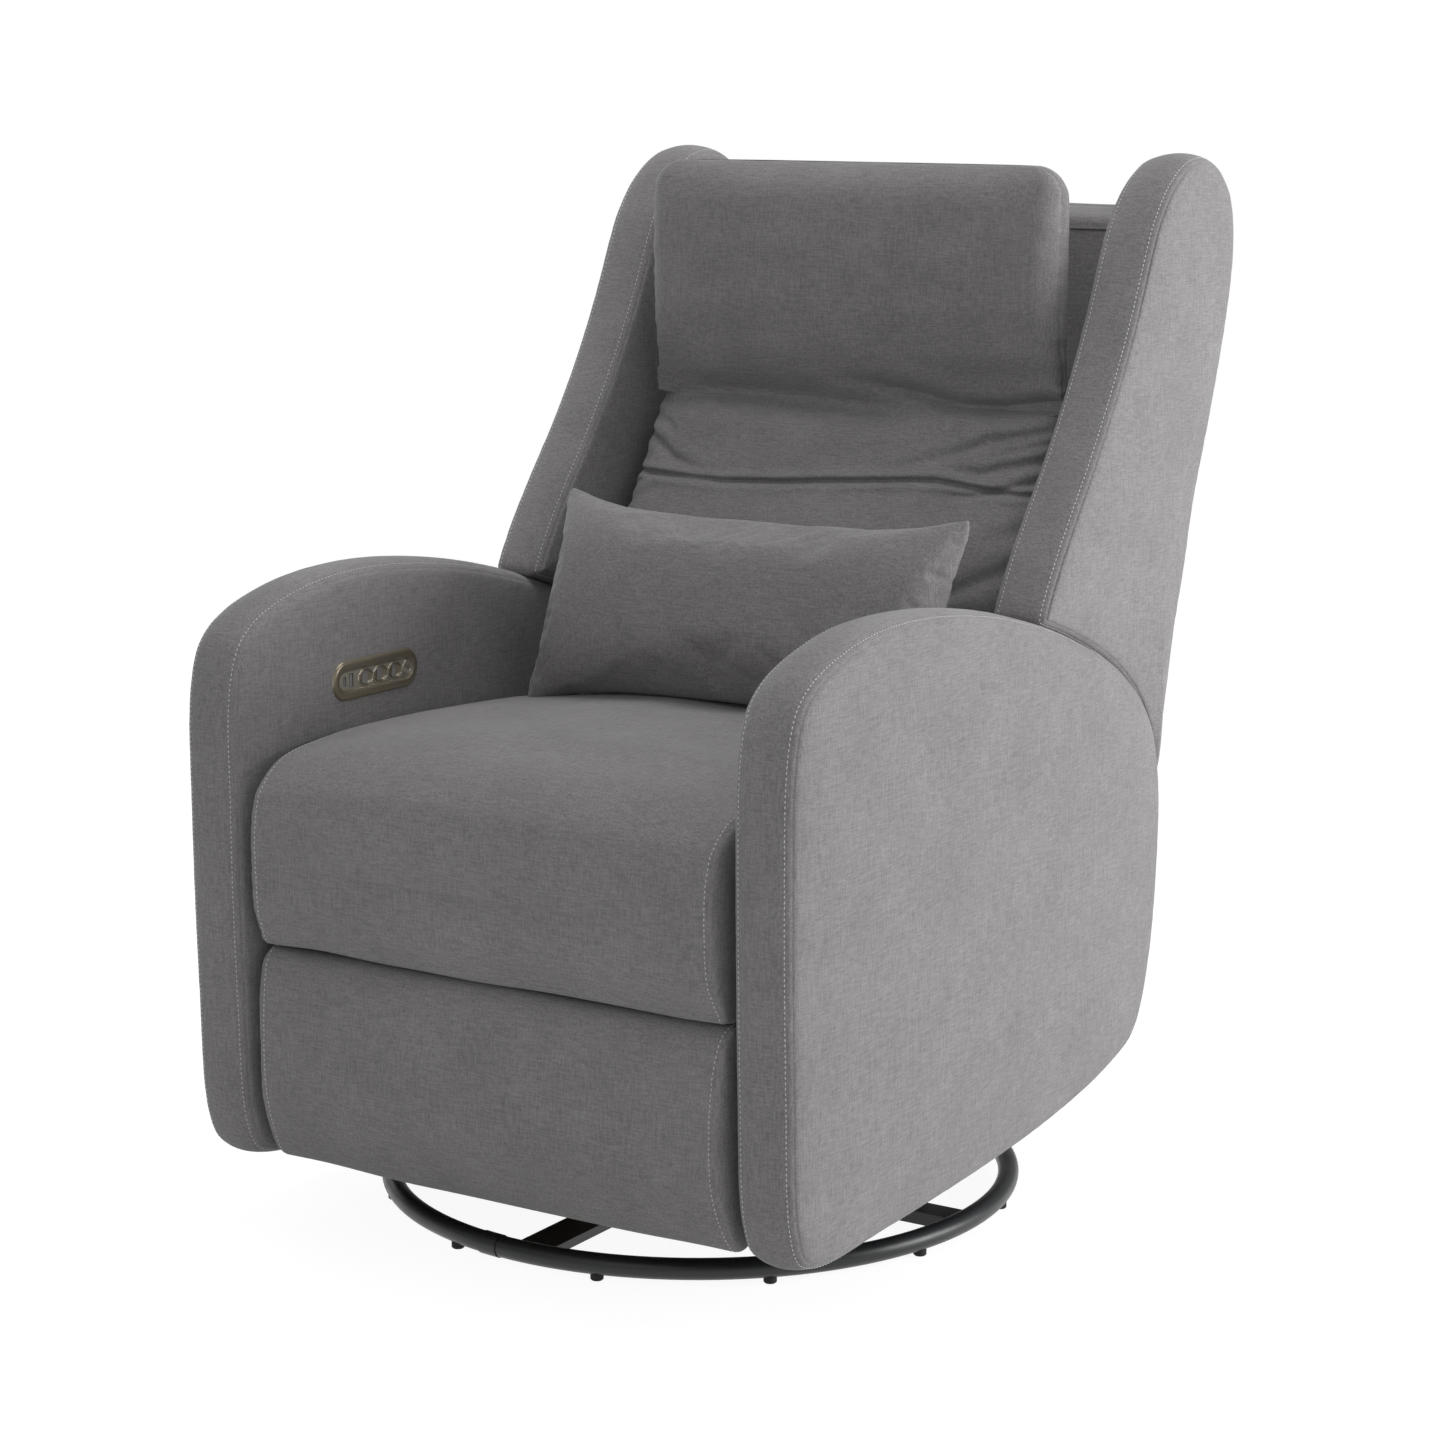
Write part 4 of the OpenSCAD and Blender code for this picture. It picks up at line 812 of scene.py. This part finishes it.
def frame_top_piping():
    """The piped seam across the front of the frame's top."""
    y, z = to_chair([[-70.8, 570]])[0]
    radius = 1.5 * MM
    bm = bmesh.new()
    bmesh.ops.create_cone(
        bm, cap_ends=True, segments=14, radius1=radius, radius2=radius, depth=0.53,
        matrix=Matrix.Translation((0, y, z)) @ Matrix.Rotation(math.pi / 2, 4, "Y"),
    )
    return bm


class GLIDER_OT_rear(bpy.types.Operator):
    """Covers the outer back, the frame's top, the rear panel and the rear of the headrest"""

    bl_idname = "glider.rear"
    bl_label = "Rear panels"

    def execute(self, context):
        form, rows = outer_back_form()
        covered("outer_back_cover", form, "back", context, ["outer_back"], part=rows)
        covered("back_frame_cover", frame_top_form(), "back", context, [], stitched=False)
        piping = as_object("back_piping", frame_top_piping(), cloth_of(context))
        place(piping, "back")
        covered(
            "rear_panel_cover", rear_panel_form(), "seat", context, ["rear_panel"], stitched=False
        )
        covered("head_rear_cover", head_rear_form(), "headrest", context, [], stitched=False)
        return {"FINISHED"}


BACK_TOP, BACK_HALF = 1.0375, 0.251  # the cover's highest point, and half its width
TOP_RADIUS = 0.036  # how far down its top is rounded

# Folds of the back's front cover, in millimetres: the line of each fold as (x, z), its depth
# at each of those points, its width, and the height of the roll above it.
FOLDS = [
    # The two deep folds under the head, from either side.
    ([(262, 789), (234, 791), (190, 787), (142, 786), (116, 790), (94, 796), (66, 802), (27, 809),
      (-30, 812)], (15, 16, 15, 13, 11, 9, 7, 4, 0), 7, 5),
    ([(135, 780), (60, 776), (0, 780), (-80, 785), (-178, 786), (-235, 772)],
     (0, 8, 13, 14, 13, 12), 13, 4),
    # The seam across the back.
    ([(-262, 700), (-194, 699), (-127, 697), (-51, 701), (47, 708), (105, 712), (134, 713),
      (162, 710), (215, 704), (262, 703)], (6,) * 10, 2.6, 3.5),
    # Gathers that run in from the sitter's left.
    ([(262, 770), (217, 761), (180, 754), (152, 742), (95, 726), (47, 716)],
     (5, 5, 4, 4, 2, 0), 5, 2.5),
    ([(262, 758), (208, 745), (170, 736)], (5, 3, 0), 4, 2),
    ([(262, 741), (203, 729), (180, 722), (130, 726)], (6, 5, 4, 0), 4.5, 2.5),
    ([(262, 720), (213, 709), (176, 700), (140, 700)], (5, 4.5, 4, 0), 4, 2),
    ([(262, 640), (219, 622), (178, 602), (140, 610)], (5, 4, 4, 0), 7, 2.5),
    ([(262, 676), (230, 664), (190, 660)], (4, 3, 0), 7, 2),
    # Gathers that run in from the sitter's right.
    ([(-262, 760), (-217, 752), (-196, 732)], (8, 6, 0), 5, 2.5),
    ([(-262, 745), (-225, 732), (-199, 716), (-162, 706), (-110, 702)], (6, 5, 5, 3, 0), 5, 2.5),
    ([(-262, 676), (-240, 688), (-215, 699)], (5, 4, 1), 4, 2),
    ([(-262, 660), (-225, 679), (-190, 687)], (5, 3, 0), 5, 2),
]


def fold_depth(x, z):
    """How far the folds draw the cover in at points (x, z), in metres."""
    total = np.zeros_like(x)
    for line, depths, width, roll in FOLDS:
        line, depths = np.array(line, float) * MM, np.array(depths, float) * MM
        best = np.full(x.shape, 1e9)
        depth, above = np.zeros_like(x), np.zeros_like(x)
        for k in range(len(line) - 1):
            a, d = line[k], line[k + 1] - line[k]
            t = np.clip(((x - a[0]) * d[0] + (z - a[1]) * d[1]) / (d @ d), 0, 1)
            px, pz = a[0] + t * d[0], a[1] + t * d[1]
            gap = np.hypot(x - px, z - pz)
            near = gap < best
            best = np.where(near, gap, best)
            depth = np.where(near, depths[k] + t * (depths[k + 1] - depths[k]), depth)
            above = np.where(near, z - pz, above)
        w = width * MM
        total += depth * np.exp(-((best / w) ** 2))
        # A roll stands above the fold, and a lower one under it.
        high = roll * MM * depth / depths.max() * (best < 6 * w)
        for rise, side in ((1, 1), (0.6, -1)):
            total -= rise * high * np.exp(-(((above - side * 2.4 * w) / (1.6 * w)) ** 2))
    return total


def around(half, front, rear, r_front, r_rear):
    """One level ring of the back's cover: x, y and how far each point faces the front."""
    arc = np.linspace(0, math.pi / 2, 18)
    small = np.linspace(0, math.pi / 2, 8)
    wide = np.linspace(-1, 1, 190) * (half - r_front)
    x, y, face = list(wide), [front] * len(wide), [1.0] * len(wide)
    for a in arc[1:]:
        x.append(half - r_front + r_front * math.sin(a))
        y.append(front + r_front * (1 - math.cos(a)))
        face.append(math.cos(a))
    flank = np.linspace(front + r_front, rear - r_rear, 18)[1:]
    x += [half] * len(flank)
    y += list(flank)
    face += [0.0] * len(flank)
    for a in small[1:]:
        x.append(half - r_rear + r_rear * math.cos(a))
        y.append(rear - r_rear + r_rear * math.sin(a))
        face.append(0.0)
    back = np.linspace(half - r_rear, 0, 16)[1:]
    x += list(back)
    y += [rear] * len(back)
    face += [0.0] * len(back)
    n = len(wide)
    x += [-v for v in x[n:-1][::-1]]
    y += y[n:-1][::-1]
    face += face[n:-1][::-1]
    return np.array(x), np.array(y), np.array(face)


def back_levels():
    """Heights of the cover's rings, closest together at its folds and over its round top."""
    runs = [
        np.arange(392, 690, 5), np.arange(690, 716, 1.3), np.arange(716, 776, 2.5),
        [776, 778, 779.5, 780.5, 781.5, 783], np.arange(784.5, 812, 1.6), np.arange(812, 1000, 4),
    ]
    turn = np.linspace(0.02, math.pi / 2, 18)
    return np.concatenate([*(np.array(run) * MM for run in runs),
                           BACK_TOP - TOP_RADIUS + TOP_RADIUS * np.sin(turn)])


def back_sections(level):
    """The cover at each height: half its width, its front, its rear, and how far the middle of
    the front stands out past its sides."""
    front = eased([
        (0.37, 0.1), (0.392, 0.085), (0.43, 0.064), (0.5, 0.068), (0.6, 0.088), (0.66, 0.13),
        (0.7, 0.166), (0.74, 0.19), (0.767, 0.204), (0.785, 0.219), (0.8, 0.221), (0.815, 0.212),
        (0.84, 0.199), (0.884, 0.19), (0.95, 0.187), (1.0, 0.192), (1.02, 0.199), (1.04, 0.213),
    ], level, 10 * MM)
    rear = eased([
        (0.392, 0.2205), (0.7785, 0.333), (0.7795, 0.333), (0.7835, 0.238), (0.806, 0.238),
        (0.812, 0.245), (1.0, 0.245), (1.03, 0.243), (1.04, 0.24),
    ], level, 0.6 * MM)
    crown = eased([
        (0.392, 0.030), (0.6, 0.032), (0.69, 0.018), (0.78, 0.012), (0.82, 0.018), (0.95, 0.021),
        (1.02, 0.017), (1.04, 0.012),
    ], level, 12 * MM)
    fall = np.clip((level - (BACK_TOP - TOP_RADIUS)) / TOP_RADIUS, 0, 1)
    draw = TOP_RADIUS * (1 - np.sqrt(1 - fall ** 2))
    return BACK_HALF - draw, front + 0.55 * draw, rear - 0.03 * draw, crown * (1 - fall ** 2)


def back_ring(z, half, front, rear, crown):
    """One ring of the cover, as x, y, z and how far each point faces the front."""
    room = rear - front - crown
    r_front = min(28 * MM, 0.46 * (rear - front), 0.8 * room)
    x, y, face = around(half, front + crown, rear, r_front, min(6 * MM, 0.2 * room))
    y = y - crown * (1 - np.clip(np.abs(x) / half, 0, 1) ** 2.3) * face
    return np.column_stack([x, y, np.full(len(x), z), face])


def closed_ends(rings):
    """The rings, with more of them that close the cover's bottom and its top."""
    low = [
        rings[0] * np.array([share, share, 1]) + (1 - share) * np.array([0, 0.15, 0])
        for share in (0, 0.5, 0.9)
    ]
    middle = rings[-1].mean(0)
    high = [
        middle + (rings[-1] - middle) * np.array([share, share, 1]) + np.array([0, 0, rise * MM])
        for share, rise in ((0.97, 0.25), (0.85, 0.6), (0.5, 0.9), (0, 1))
    ]
    return np.concatenate([np.array(low), rings, np.array(high)])


class GLIDER_OT_back(bpy.types.Operator):
    """Covers the back and head cushions with one cloth, drawn into folds under the head"""

    bl_idname = "glider.back"
    bl_label = "Back and head cushions"

    def execute(self, context):
        level = back_levels()
        rings = np.array([back_ring(*row) for row in zip(level, *back_sections(level))])
        points, face = rings[:, :, :3], rings[:, :, 3]
        x, z = points[:, :, 0], points[:, :, 2]
        depth = fold_depth(x, z) * np.clip(face * 1.6, 0, 1)
        unrest = eased(
            [(0.4, 1.2), (0.68, 1.4), (0.72, 2.0), (0.8, 1.6), (0.86, 0.8), (1.04, 0.7)], z, 10 * MM
        )
        rough = drift(points * np.array([1, 1, 1.6]), 70 * MM, 71) * unrest * MM
        points[:, :, 1] += depth - rough * face
        # The side seam behind the front corner is drawn in, and the cloth is gathered along it.
        flank = np.abs(x) > 0.2
        seam = np.exp(-(((face - 0.3) / 0.1) ** 2)) * flank * (z > 0.8)
        gather = ripple(z, 19 * MM, 73) * np.exp(-(((face - 0.45) / 0.4) ** 2)) * flank
        points[:, :, 0] -= np.sign(x) * (2.0 * MM * seam - 1.3 * MM * gather)
        cover = as_object("back_and_head_cover", skin(closed_ends(points)), cloth_of(context))
        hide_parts("back_cushion", "head_cushion")
        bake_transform(cover)
        return {"FINISHED"}


PILLOW = (0.496, 0.232, 0.102)  # the filled pillow's width, height and depth
EMPTY_CASE = (0.508, 0.246, 0.08)  # the case before the cloth fills out: larger and flatter


def inflated(mesh, pressure, cap, stiff=40):
    """The mesh after Blender's cloth has blown it up, with no point moved further than the cap."""
    scene = bpy.context.scene
    shell = bpy.data.objects.new("cloth_form", mesh)
    scene.collection.objects.link(shell)
    start = np.empty(len(mesh.vertices) * 3)
    mesh.vertices.foreach_get("co", start)
    cloth = shell.modifiers.new("cloth", "CLOTH")
    cloth.settings.quality = 7
    cloth.settings.use_pressure = True
    cloth.settings.uniform_pressure_force = pressure
    cloth.settings.tension_stiffness = stiff
    cloth.settings.compression_stiffness = stiff
    cloth.settings.shear_stiffness = 0.5 * stiff
    cloth.settings.bending_stiffness = 0.2
    cloth.settings.mass = 0.1
    cloth.settings.effector_weights.gravity = 0
    cloth.point_cache.frame_start, cloth.point_cache.frame_end = 1, 20
    for at in range(1, 21):
        scene.frame_set(at)
    blown = shell.evaluated_get(bpy.context.evaluated_depsgraph_get()).to_mesh()
    end = np.empty(len(start))
    blown.vertices.foreach_get("co", end)
    shell.evaluated_get(bpy.context.evaluated_depsgraph_get()).to_mesh_clear()
    bpy.data.objects.remove(shell)
    scene.frame_set(1)
    move = (end - start).reshape(-1, 3)
    size = np.maximum(np.linalg.norm(move, axis=1, keepdims=True), 1e-9)
    move *= cap * np.tanh(size / cap) / size
    mesh.vertices.foreach_set("co", start + move.ravel())
    return mesh


def pillow_case(size):
    """Rings of the pillow's case along its width, gathered where its ends are sewn."""
    wide, tall, _ = PILLOW
    half = np.array(size) / 2
    v = np.linspace(-1, 1, 53)
    gather = 2.2 * MM * ripple(v * tall / 2, 17 * MM, 81)
    rings = []
    for a in np.linspace(-1, 1, 101):
        away = (1 - abs(a)) * wide / 2
        tuck = math.exp(-away / (11 * MM)) * (1 - math.exp(-away / (3 * MM)))
        ring = []
        for side, row in ((-1, v), (1, v[::-1][1:-1])):
            for b in row:
                fat = max(0, 1 - abs(a) ** 4) ** 0.6 * max(0, 1 - abs(b) ** 2.4) ** 0.6
                blunt = 1 - 0.025 * (a * b) ** 12
                pleat = tuck * np.interp(b, v, gather) * (1 - b ** 8)
                ring.append((
                    half[0] * a * (1 - 0.03 * (1 - b * b)) * blunt,
                    side * (half[2] * fat + pleat),
                    half[1] * b * (1 - 0.08 * (1 - a ** 4)) * blunt,
                ))
        rings.append(ring)
    return rings


class GLIDER_OT_pillow(bpy.types.Operator):
    """Sews and fills the loose lumbar pillow"""

    bl_idname = "glider.pillow"
    bl_label = "Lumbar pillow"

    def execute(self, context):
        low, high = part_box("lumbar_pillow")
        mesh = bpy.data.meshes.new("pillow_form")
        bm = skin(pillow_case(EMPTY_CASE))
        bm.to_mesh(mesh)
        bm.free()
        inflated(mesh, 10, 19 * MM)
        bm = bmesh.new()
        bm.from_mesh(mesh)
        bpy.data.meshes.remove(mesh)
        bmesh.ops.subdivide_edges(bm, edges=bm.edges, cuts=1, use_grid_fill=True, smooth=1)
        piece = as_object("pillow_cover", bm, cloth_of(context))
        lean = Matrix.Translation((low + high) / 2 + Vector((0.013, 0.001, -0.004)))
        lean @= Matrix.Rotation(-math.radians(21.5), 4, "X")
        piece.data.transform(lean)
        place(piece, "pillow", ["lumbar_pillow"])
        return {"FINISHED"}


# ------------------------------------------------------------- control panel


# The panel's rim in section, from its outer side over to its inner side, in millimetres: how
# far in, and how far above the arm's front.
RIM_PROFILE = [
    (0.4, -10), (0, -5), (0, -3.4), (0.25, -2.3), (0.9, -1.2), (1.9, -0.4), (3, -0.05), (5, 0),
    (8, -0.3), (8.7, -0.5), (9.1, -1.2), (9.5, -1.4), (10.2, -1.35), (10.7, -1.6), (11, -2.3),
    (11.1, -4), (11.1, -10), (5, -10.2), (0.4, -10),
]
# The ring round a button: its size against the button's, and its height in millimetres.
SURROUND_PROFILE = [
    (1.03, -4), (1.03, -0.5), (1.07, -0.1), (1.13, -0.1), (1.17, -0.5), (1.17, -4), (1.03, -4),
]


def stadium(length, height, count=96):
    """Points round a shape with round ends, as (Y, Z)."""
    r = height / 2
    turn = np.linspace(0, 2 * math.pi, count, endpoint=False)
    y, z = r * np.cos(turn), r * np.sin(turn)
    return np.column_stack([y + np.where(np.cos(turn) > 0, 1, -1) * (length / 2 - r), z])


def rim_rings(loop, profile, at):
    """Rings of a rim round a (Y, Z) loop, for a profile of insets and heights in millimetres."""
    out = outward(loop[::-1])[::-1]
    rings = []
    for inset, height in profile:
        flat = loop - out * inset * MM
        rings.append(face_ring(at[0] + height * MM, flat, np.array(at[1:])))
    return rings


def face_ring(x, loop, centre):
    """A (Y, Z) loop round a centre as points (X, Y, Z)."""
    return np.column_stack([x + np.zeros(len(loop)), loop + centre])


def button_loop(half, is_round, count=64):
    """Points round a button, as (Y, Z): a disc, or a square with blunt corners."""
    turn = np.linspace(0, 2 * math.pi, count, endpoint=False)
    across, upward = np.cos(turn), np.sin(turn)
    radius = np.ones(count)
    if not is_round:
        sides = [across, upward, (across + upward) / 1.46, (across - upward) / 1.46]
        radius = sum(np.abs(side) ** 14 for side in sides) ** (-1 / 14)
    return np.column_stack([across * radius * half[0], upward * radius * half[1]])


def button_rings(deep, top, loop, centre, half, is_round):
    """Rings of a button: up its side, over its edge, and in across a domed or hollow face."""
    lip = 0.87
    edge = [(0, deep), (1, deep), (1, -1 * MM), (0.985, -0.4 * MM), (0.95, 0), (0.9, 0),
            (lip, -0.3 * MM)]
    rings = [face_ring(top + height, loop * share, centre) for share, height in edge]
    for share in (0.84, 0.76, 0.64, 0.5, 0.36, 0.24, 0.12, 0):
        flat = loop * share
        if is_round:
            height = -0.35 * MM + 0.5 * MM * (1 - (share / lip) ** 2)
        else:
            lie = np.clip(np.abs(flat[:, 0]) / half[0], 0, 1)
            height = -0.3 * MM - 1.8 * MM * (1 - (lie / lip) ** 2)
        rings.append(face_ring(top + height, flat, centre))
    return rings


class GLIDER_OT_panel(bpy.types.Operator):
    """Makes the control panel's rim, plate and buttons on the sitter's right arm"""

    bl_idname = "glider.panel"
    bl_label = "Control panel"

    def execute(self, context):
        panel = context.scene.glider_panel
        low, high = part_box("panel_bezel")
        at = (high.x, (low.y + high.y) / 2, (low.z + high.z) / 2)
        metal = brushed_paint("champagne_brushed_paint", panel.colour, 0.34)
        bright = brushed_paint("bright_champagne_paint", "cfc9bb", 0.2)
        rim = rim_rings(stadium(panel.length, panel.height), RIM_PROFILE, at)
        piece = as_object("panel_rim", skin(rim), metal)
        place(piece, "seat", ["panel_bezel"])
        for node in ("button_recline_out", "button_recline_in", "button_head", "button_home"):
            low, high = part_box(node)
            half = np.array([high.y - low.y, high.z - low.z]) / 2
            centre = ((low.y + high.y) / 2, (low.z + high.z) / 2)
            is_round = node == "button_home"
            loop = button_loop(half, is_round)
            surround = [
                face_ring(high.x + height * MM, loop * share, centre)
                for share, height in SURROUND_PROFILE
            ]
            place(as_object(node + "_surround", skin(surround), bright), "seat")
            rings = button_rings(low.x - high.x, high.x, loop, centre, half, is_round)
            cap = as_object(node + "_cap", skin(rings), bright if is_round else metal)
            place(cap, node.replace("button_", "") + "_button", [node])
        plate = brushed_paint("pale_champagne_paint", "b9b5a6", 0.42)
        dark = moulded_plastic("socket_black", "0d0d0d", 0.35)
        for node, chosen in (("panel_face", plate), ("usb_ports", dark)):
            nodes[node].data.materials.clear()
            nodes[node].data.materials.append(chosen)
        return {"FINISHED"}


# --------------------------------------------------------- steel, wood, plastic


class GLIDER_OT_frame(bpy.types.Operator):
    """Gives the steelwork, the wooden frame and the drive their finishes"""

    bl_idname = "glider.frame"
    bl_label = "Frame finishes"

    def execute(self, context):
        black = coated_metal("black_powder_coat", "1f2123", 0.36, 0.0, 1500, 0.25)
        zinc = coated_metal("bright_zinc_plate", "b9bcbf", 0.3, 1.0, 600, 0.08)
        extruded = coated_metal("drawn_aluminium", "c2c3c4", 0.38, 1.0, 350, 0.1)
        rubber = moulded_plastic("moulded_rubber", "1b1b1b", 0.8)
        plastic = moulded_plastic("moulded_black_abs", "202122", 0.5)
        pine = bare_wood("planed_pine", "dcb987", "b88a55", (9, 260, 260))
        ply = bare_wood("birch_plywood", "d8bd92", "bd9a6a", (240, 12, 60))
        webbing = woven_webbing("elastic_webbing")
        finish = {
            "painted_steel": black, "zinc_steel": zinc, "track_aluminium": extruded, "rubber_feet": rubber,
            "black_plastic": plastic, "bare_wood": pine, "elastic_webbing": webbing,
        }
        for part in frame["record"]["subparts"]:
            chosen = finish.get(part["material_slot"])
            if part["node"] in ("arm_boards", "footrest_board"):
                chosen = ply
            if chosen:
                mesh = nodes[part["node"]].data
                mesh.materials.clear()
                mesh.materials.append(chosen)
        return {"FINISHED"}


# Each lamp's name, its place, its size, and its power as a share of the key light's.
LAMPS = [
    ("key", (3.0, 1.3, 0.85), 1.5, 0.95), ("front", (0.4, -4.2, 2.2), 2.6, 0.17),
    ("top", (0.0, 0.4, 3.6), 2.4, 0.47), ("rim", (-3.2, 1.2, 1.8), 2.0, 0.3),
]


def either_ray(tree, first, second):
    """1 for a ray of either kind, and 0 for any other."""
    path = add(tree, "ShaderNodeLightPath").outputs
    inputs = {0: path[first], 1: path[second]}
    return add(tree, "ShaderNodeMath", inputs, operation="MAXIMUM").outputs[0]


def white_sweep():
    """The floor's finish: pale, and glowing to the camera so that only shadows show on it."""
    material, tree, shader, _ = new_material("white_sweep")
    shader.inputs["Base Color"].default_value = (0.8, 0.8, 0.8, 1)
    shader.inputs["Roughness"].default_value = 0.9
    glow = add(tree, "ShaderNodeEmission", {"Color": (1, 1, 1, 1), "Strength": 1.22}).outputs[0]
    seen = either_ray(tree, "Is Camera Ray", "Is Glossy Ray")
    share = add(tree, "ShaderNodeMath", {0: seen, 1: 0.76}, operation="MULTIPLY").outputs[0]
    whole = add(tree, "ShaderNodeMixShader", {0: share, 1: shader.outputs[0], 2: glow}).outputs[0]
    tree.links.new(whole, tree.nodes["Material Output"].inputs["Surface"])
    return material


class GLIDER_OT_stage(bpy.types.Operator):
    """Sets up the camera, the lamps, the surround and the floor"""

    bl_idname = "glider.stage"
    bl_label = "Stage"

    def execute(self, context):
        scene, stage = context.scene, context.scene.glider_stage
        scene.view_settings.view_transform = "Standard"
        lens = bpy.data.cameras.new("camera")
        lens.lens, lens.sensor_width, lens.clip_end = stage.lens, 36, 50
        camera = bpy.data.objects.new("camera", lens)
        scene.collection.objects.link(camera)
        camera.location = (1.8626, -2.9339, 1.1502)
        look = Vector((0.0011, -0.0281, 0.4765)) - camera.location
        camera.rotation_euler = look.to_track_quat("-Z", "Y").to_euler()
        scene.camera = camera
        for name, spot, size, share in LAMPS:
            lamp = bpy.data.lights.new(name, "AREA")
            lamp.size, lamp.energy = size, share * stage.key
            thing = bpy.data.objects.new(name, lamp)
            thing.location = spot
            aim = Vector((0, -0.05, 0.55)) - thing.location
            thing.rotation_euler = aim.to_track_quat("-Z", "Y").to_euler()
            scene.collection.objects.link(thing)
        world = bpy.data.worlds.new("surround")
        world.use_nodes = True
        tree = world.node_tree
        sky = tree.nodes["Background"]
        seen = either_ray(tree, "Is Camera Ray", "Is Transmission Ray")
        strength = ranged(tree, seen, 0, 1, stage.fill, 1)
        sky.inputs["Color"].default_value = (1, 1, 1, 1)
        tree.links.new(strength, sky.inputs["Strength"])
        scene.world = world
        bm = bmesh.new()
        bmesh.ops.create_circle(bm, cap_ends=True, segments=96, radius=12)
        bmesh.ops.translate(bm, verts=bm.verts, vec=(0, 0, -0.5 * MM))
        floor = as_object("floor", bm, white_sweep(), smooth=False)
        return {"FINISHED"}


class GLIDER_PT_sidebar(bpy.types.Panel):
    """Shows the cloth, panel and stage settings, and a button for each step"""

    bl_label = "Glider chair"
    bl_idname = "GLIDER_PT_sidebar"
    bl_space_type = "VIEW_3D"
    bl_region_type = "UI"
    bl_category = "Glider"

    def draw(self, context):
        for group in ("glider_cloth", "glider_panel", "glider_stage"):
            settings = getattr(context.scene, group)
            box = self.layout.box()
            for key in settings.bl_rna.properties.keys():
                if key not in ("rna_type", "name"):
                    box.prop(settings, key)
        for operator in OPERATORS:
            self.layout.operator(operator.bl_idname)


GROUPS = {"glider_cloth": GliderCloth, "glider_panel": GliderPanel, "glider_stage": GliderStage}
OPERATORS = [
    GLIDER_OT_stage, GLIDER_OT_frame, GLIDER_OT_arms, GLIDER_OT_wings, GLIDER_OT_seat,
    GLIDER_OT_footrest, GLIDER_OT_rear, GLIDER_OT_back, GLIDER_OT_pillow, GLIDER_OT_panel,
]


def register():
    for name, group in GROUPS.items():
        bpy.utils.register_class(group)
        setattr(bpy.types.Scene, name, bpy.props.PointerProperty(type=group))
    for kind in OPERATORS + [GLIDER_PT_sidebar]:
        bpy.utils.register_class(kind)


def unregister():
    for kind in [GLIDER_PT_sidebar] + OPERATORS[::-1]:
        bpy.utils.unregister_class(kind)
    for name, group in GROUPS.items():
        delattr(bpy.types.Scene, name)
        bpy.utils.unregister_class(group)


def main():
    register()
    for operator in OPERATORS:
        group, name = operator.bl_idname.split(".")
        getattr(getattr(bpy.ops, group), name)()


if __name__ == "__main__":
    main()
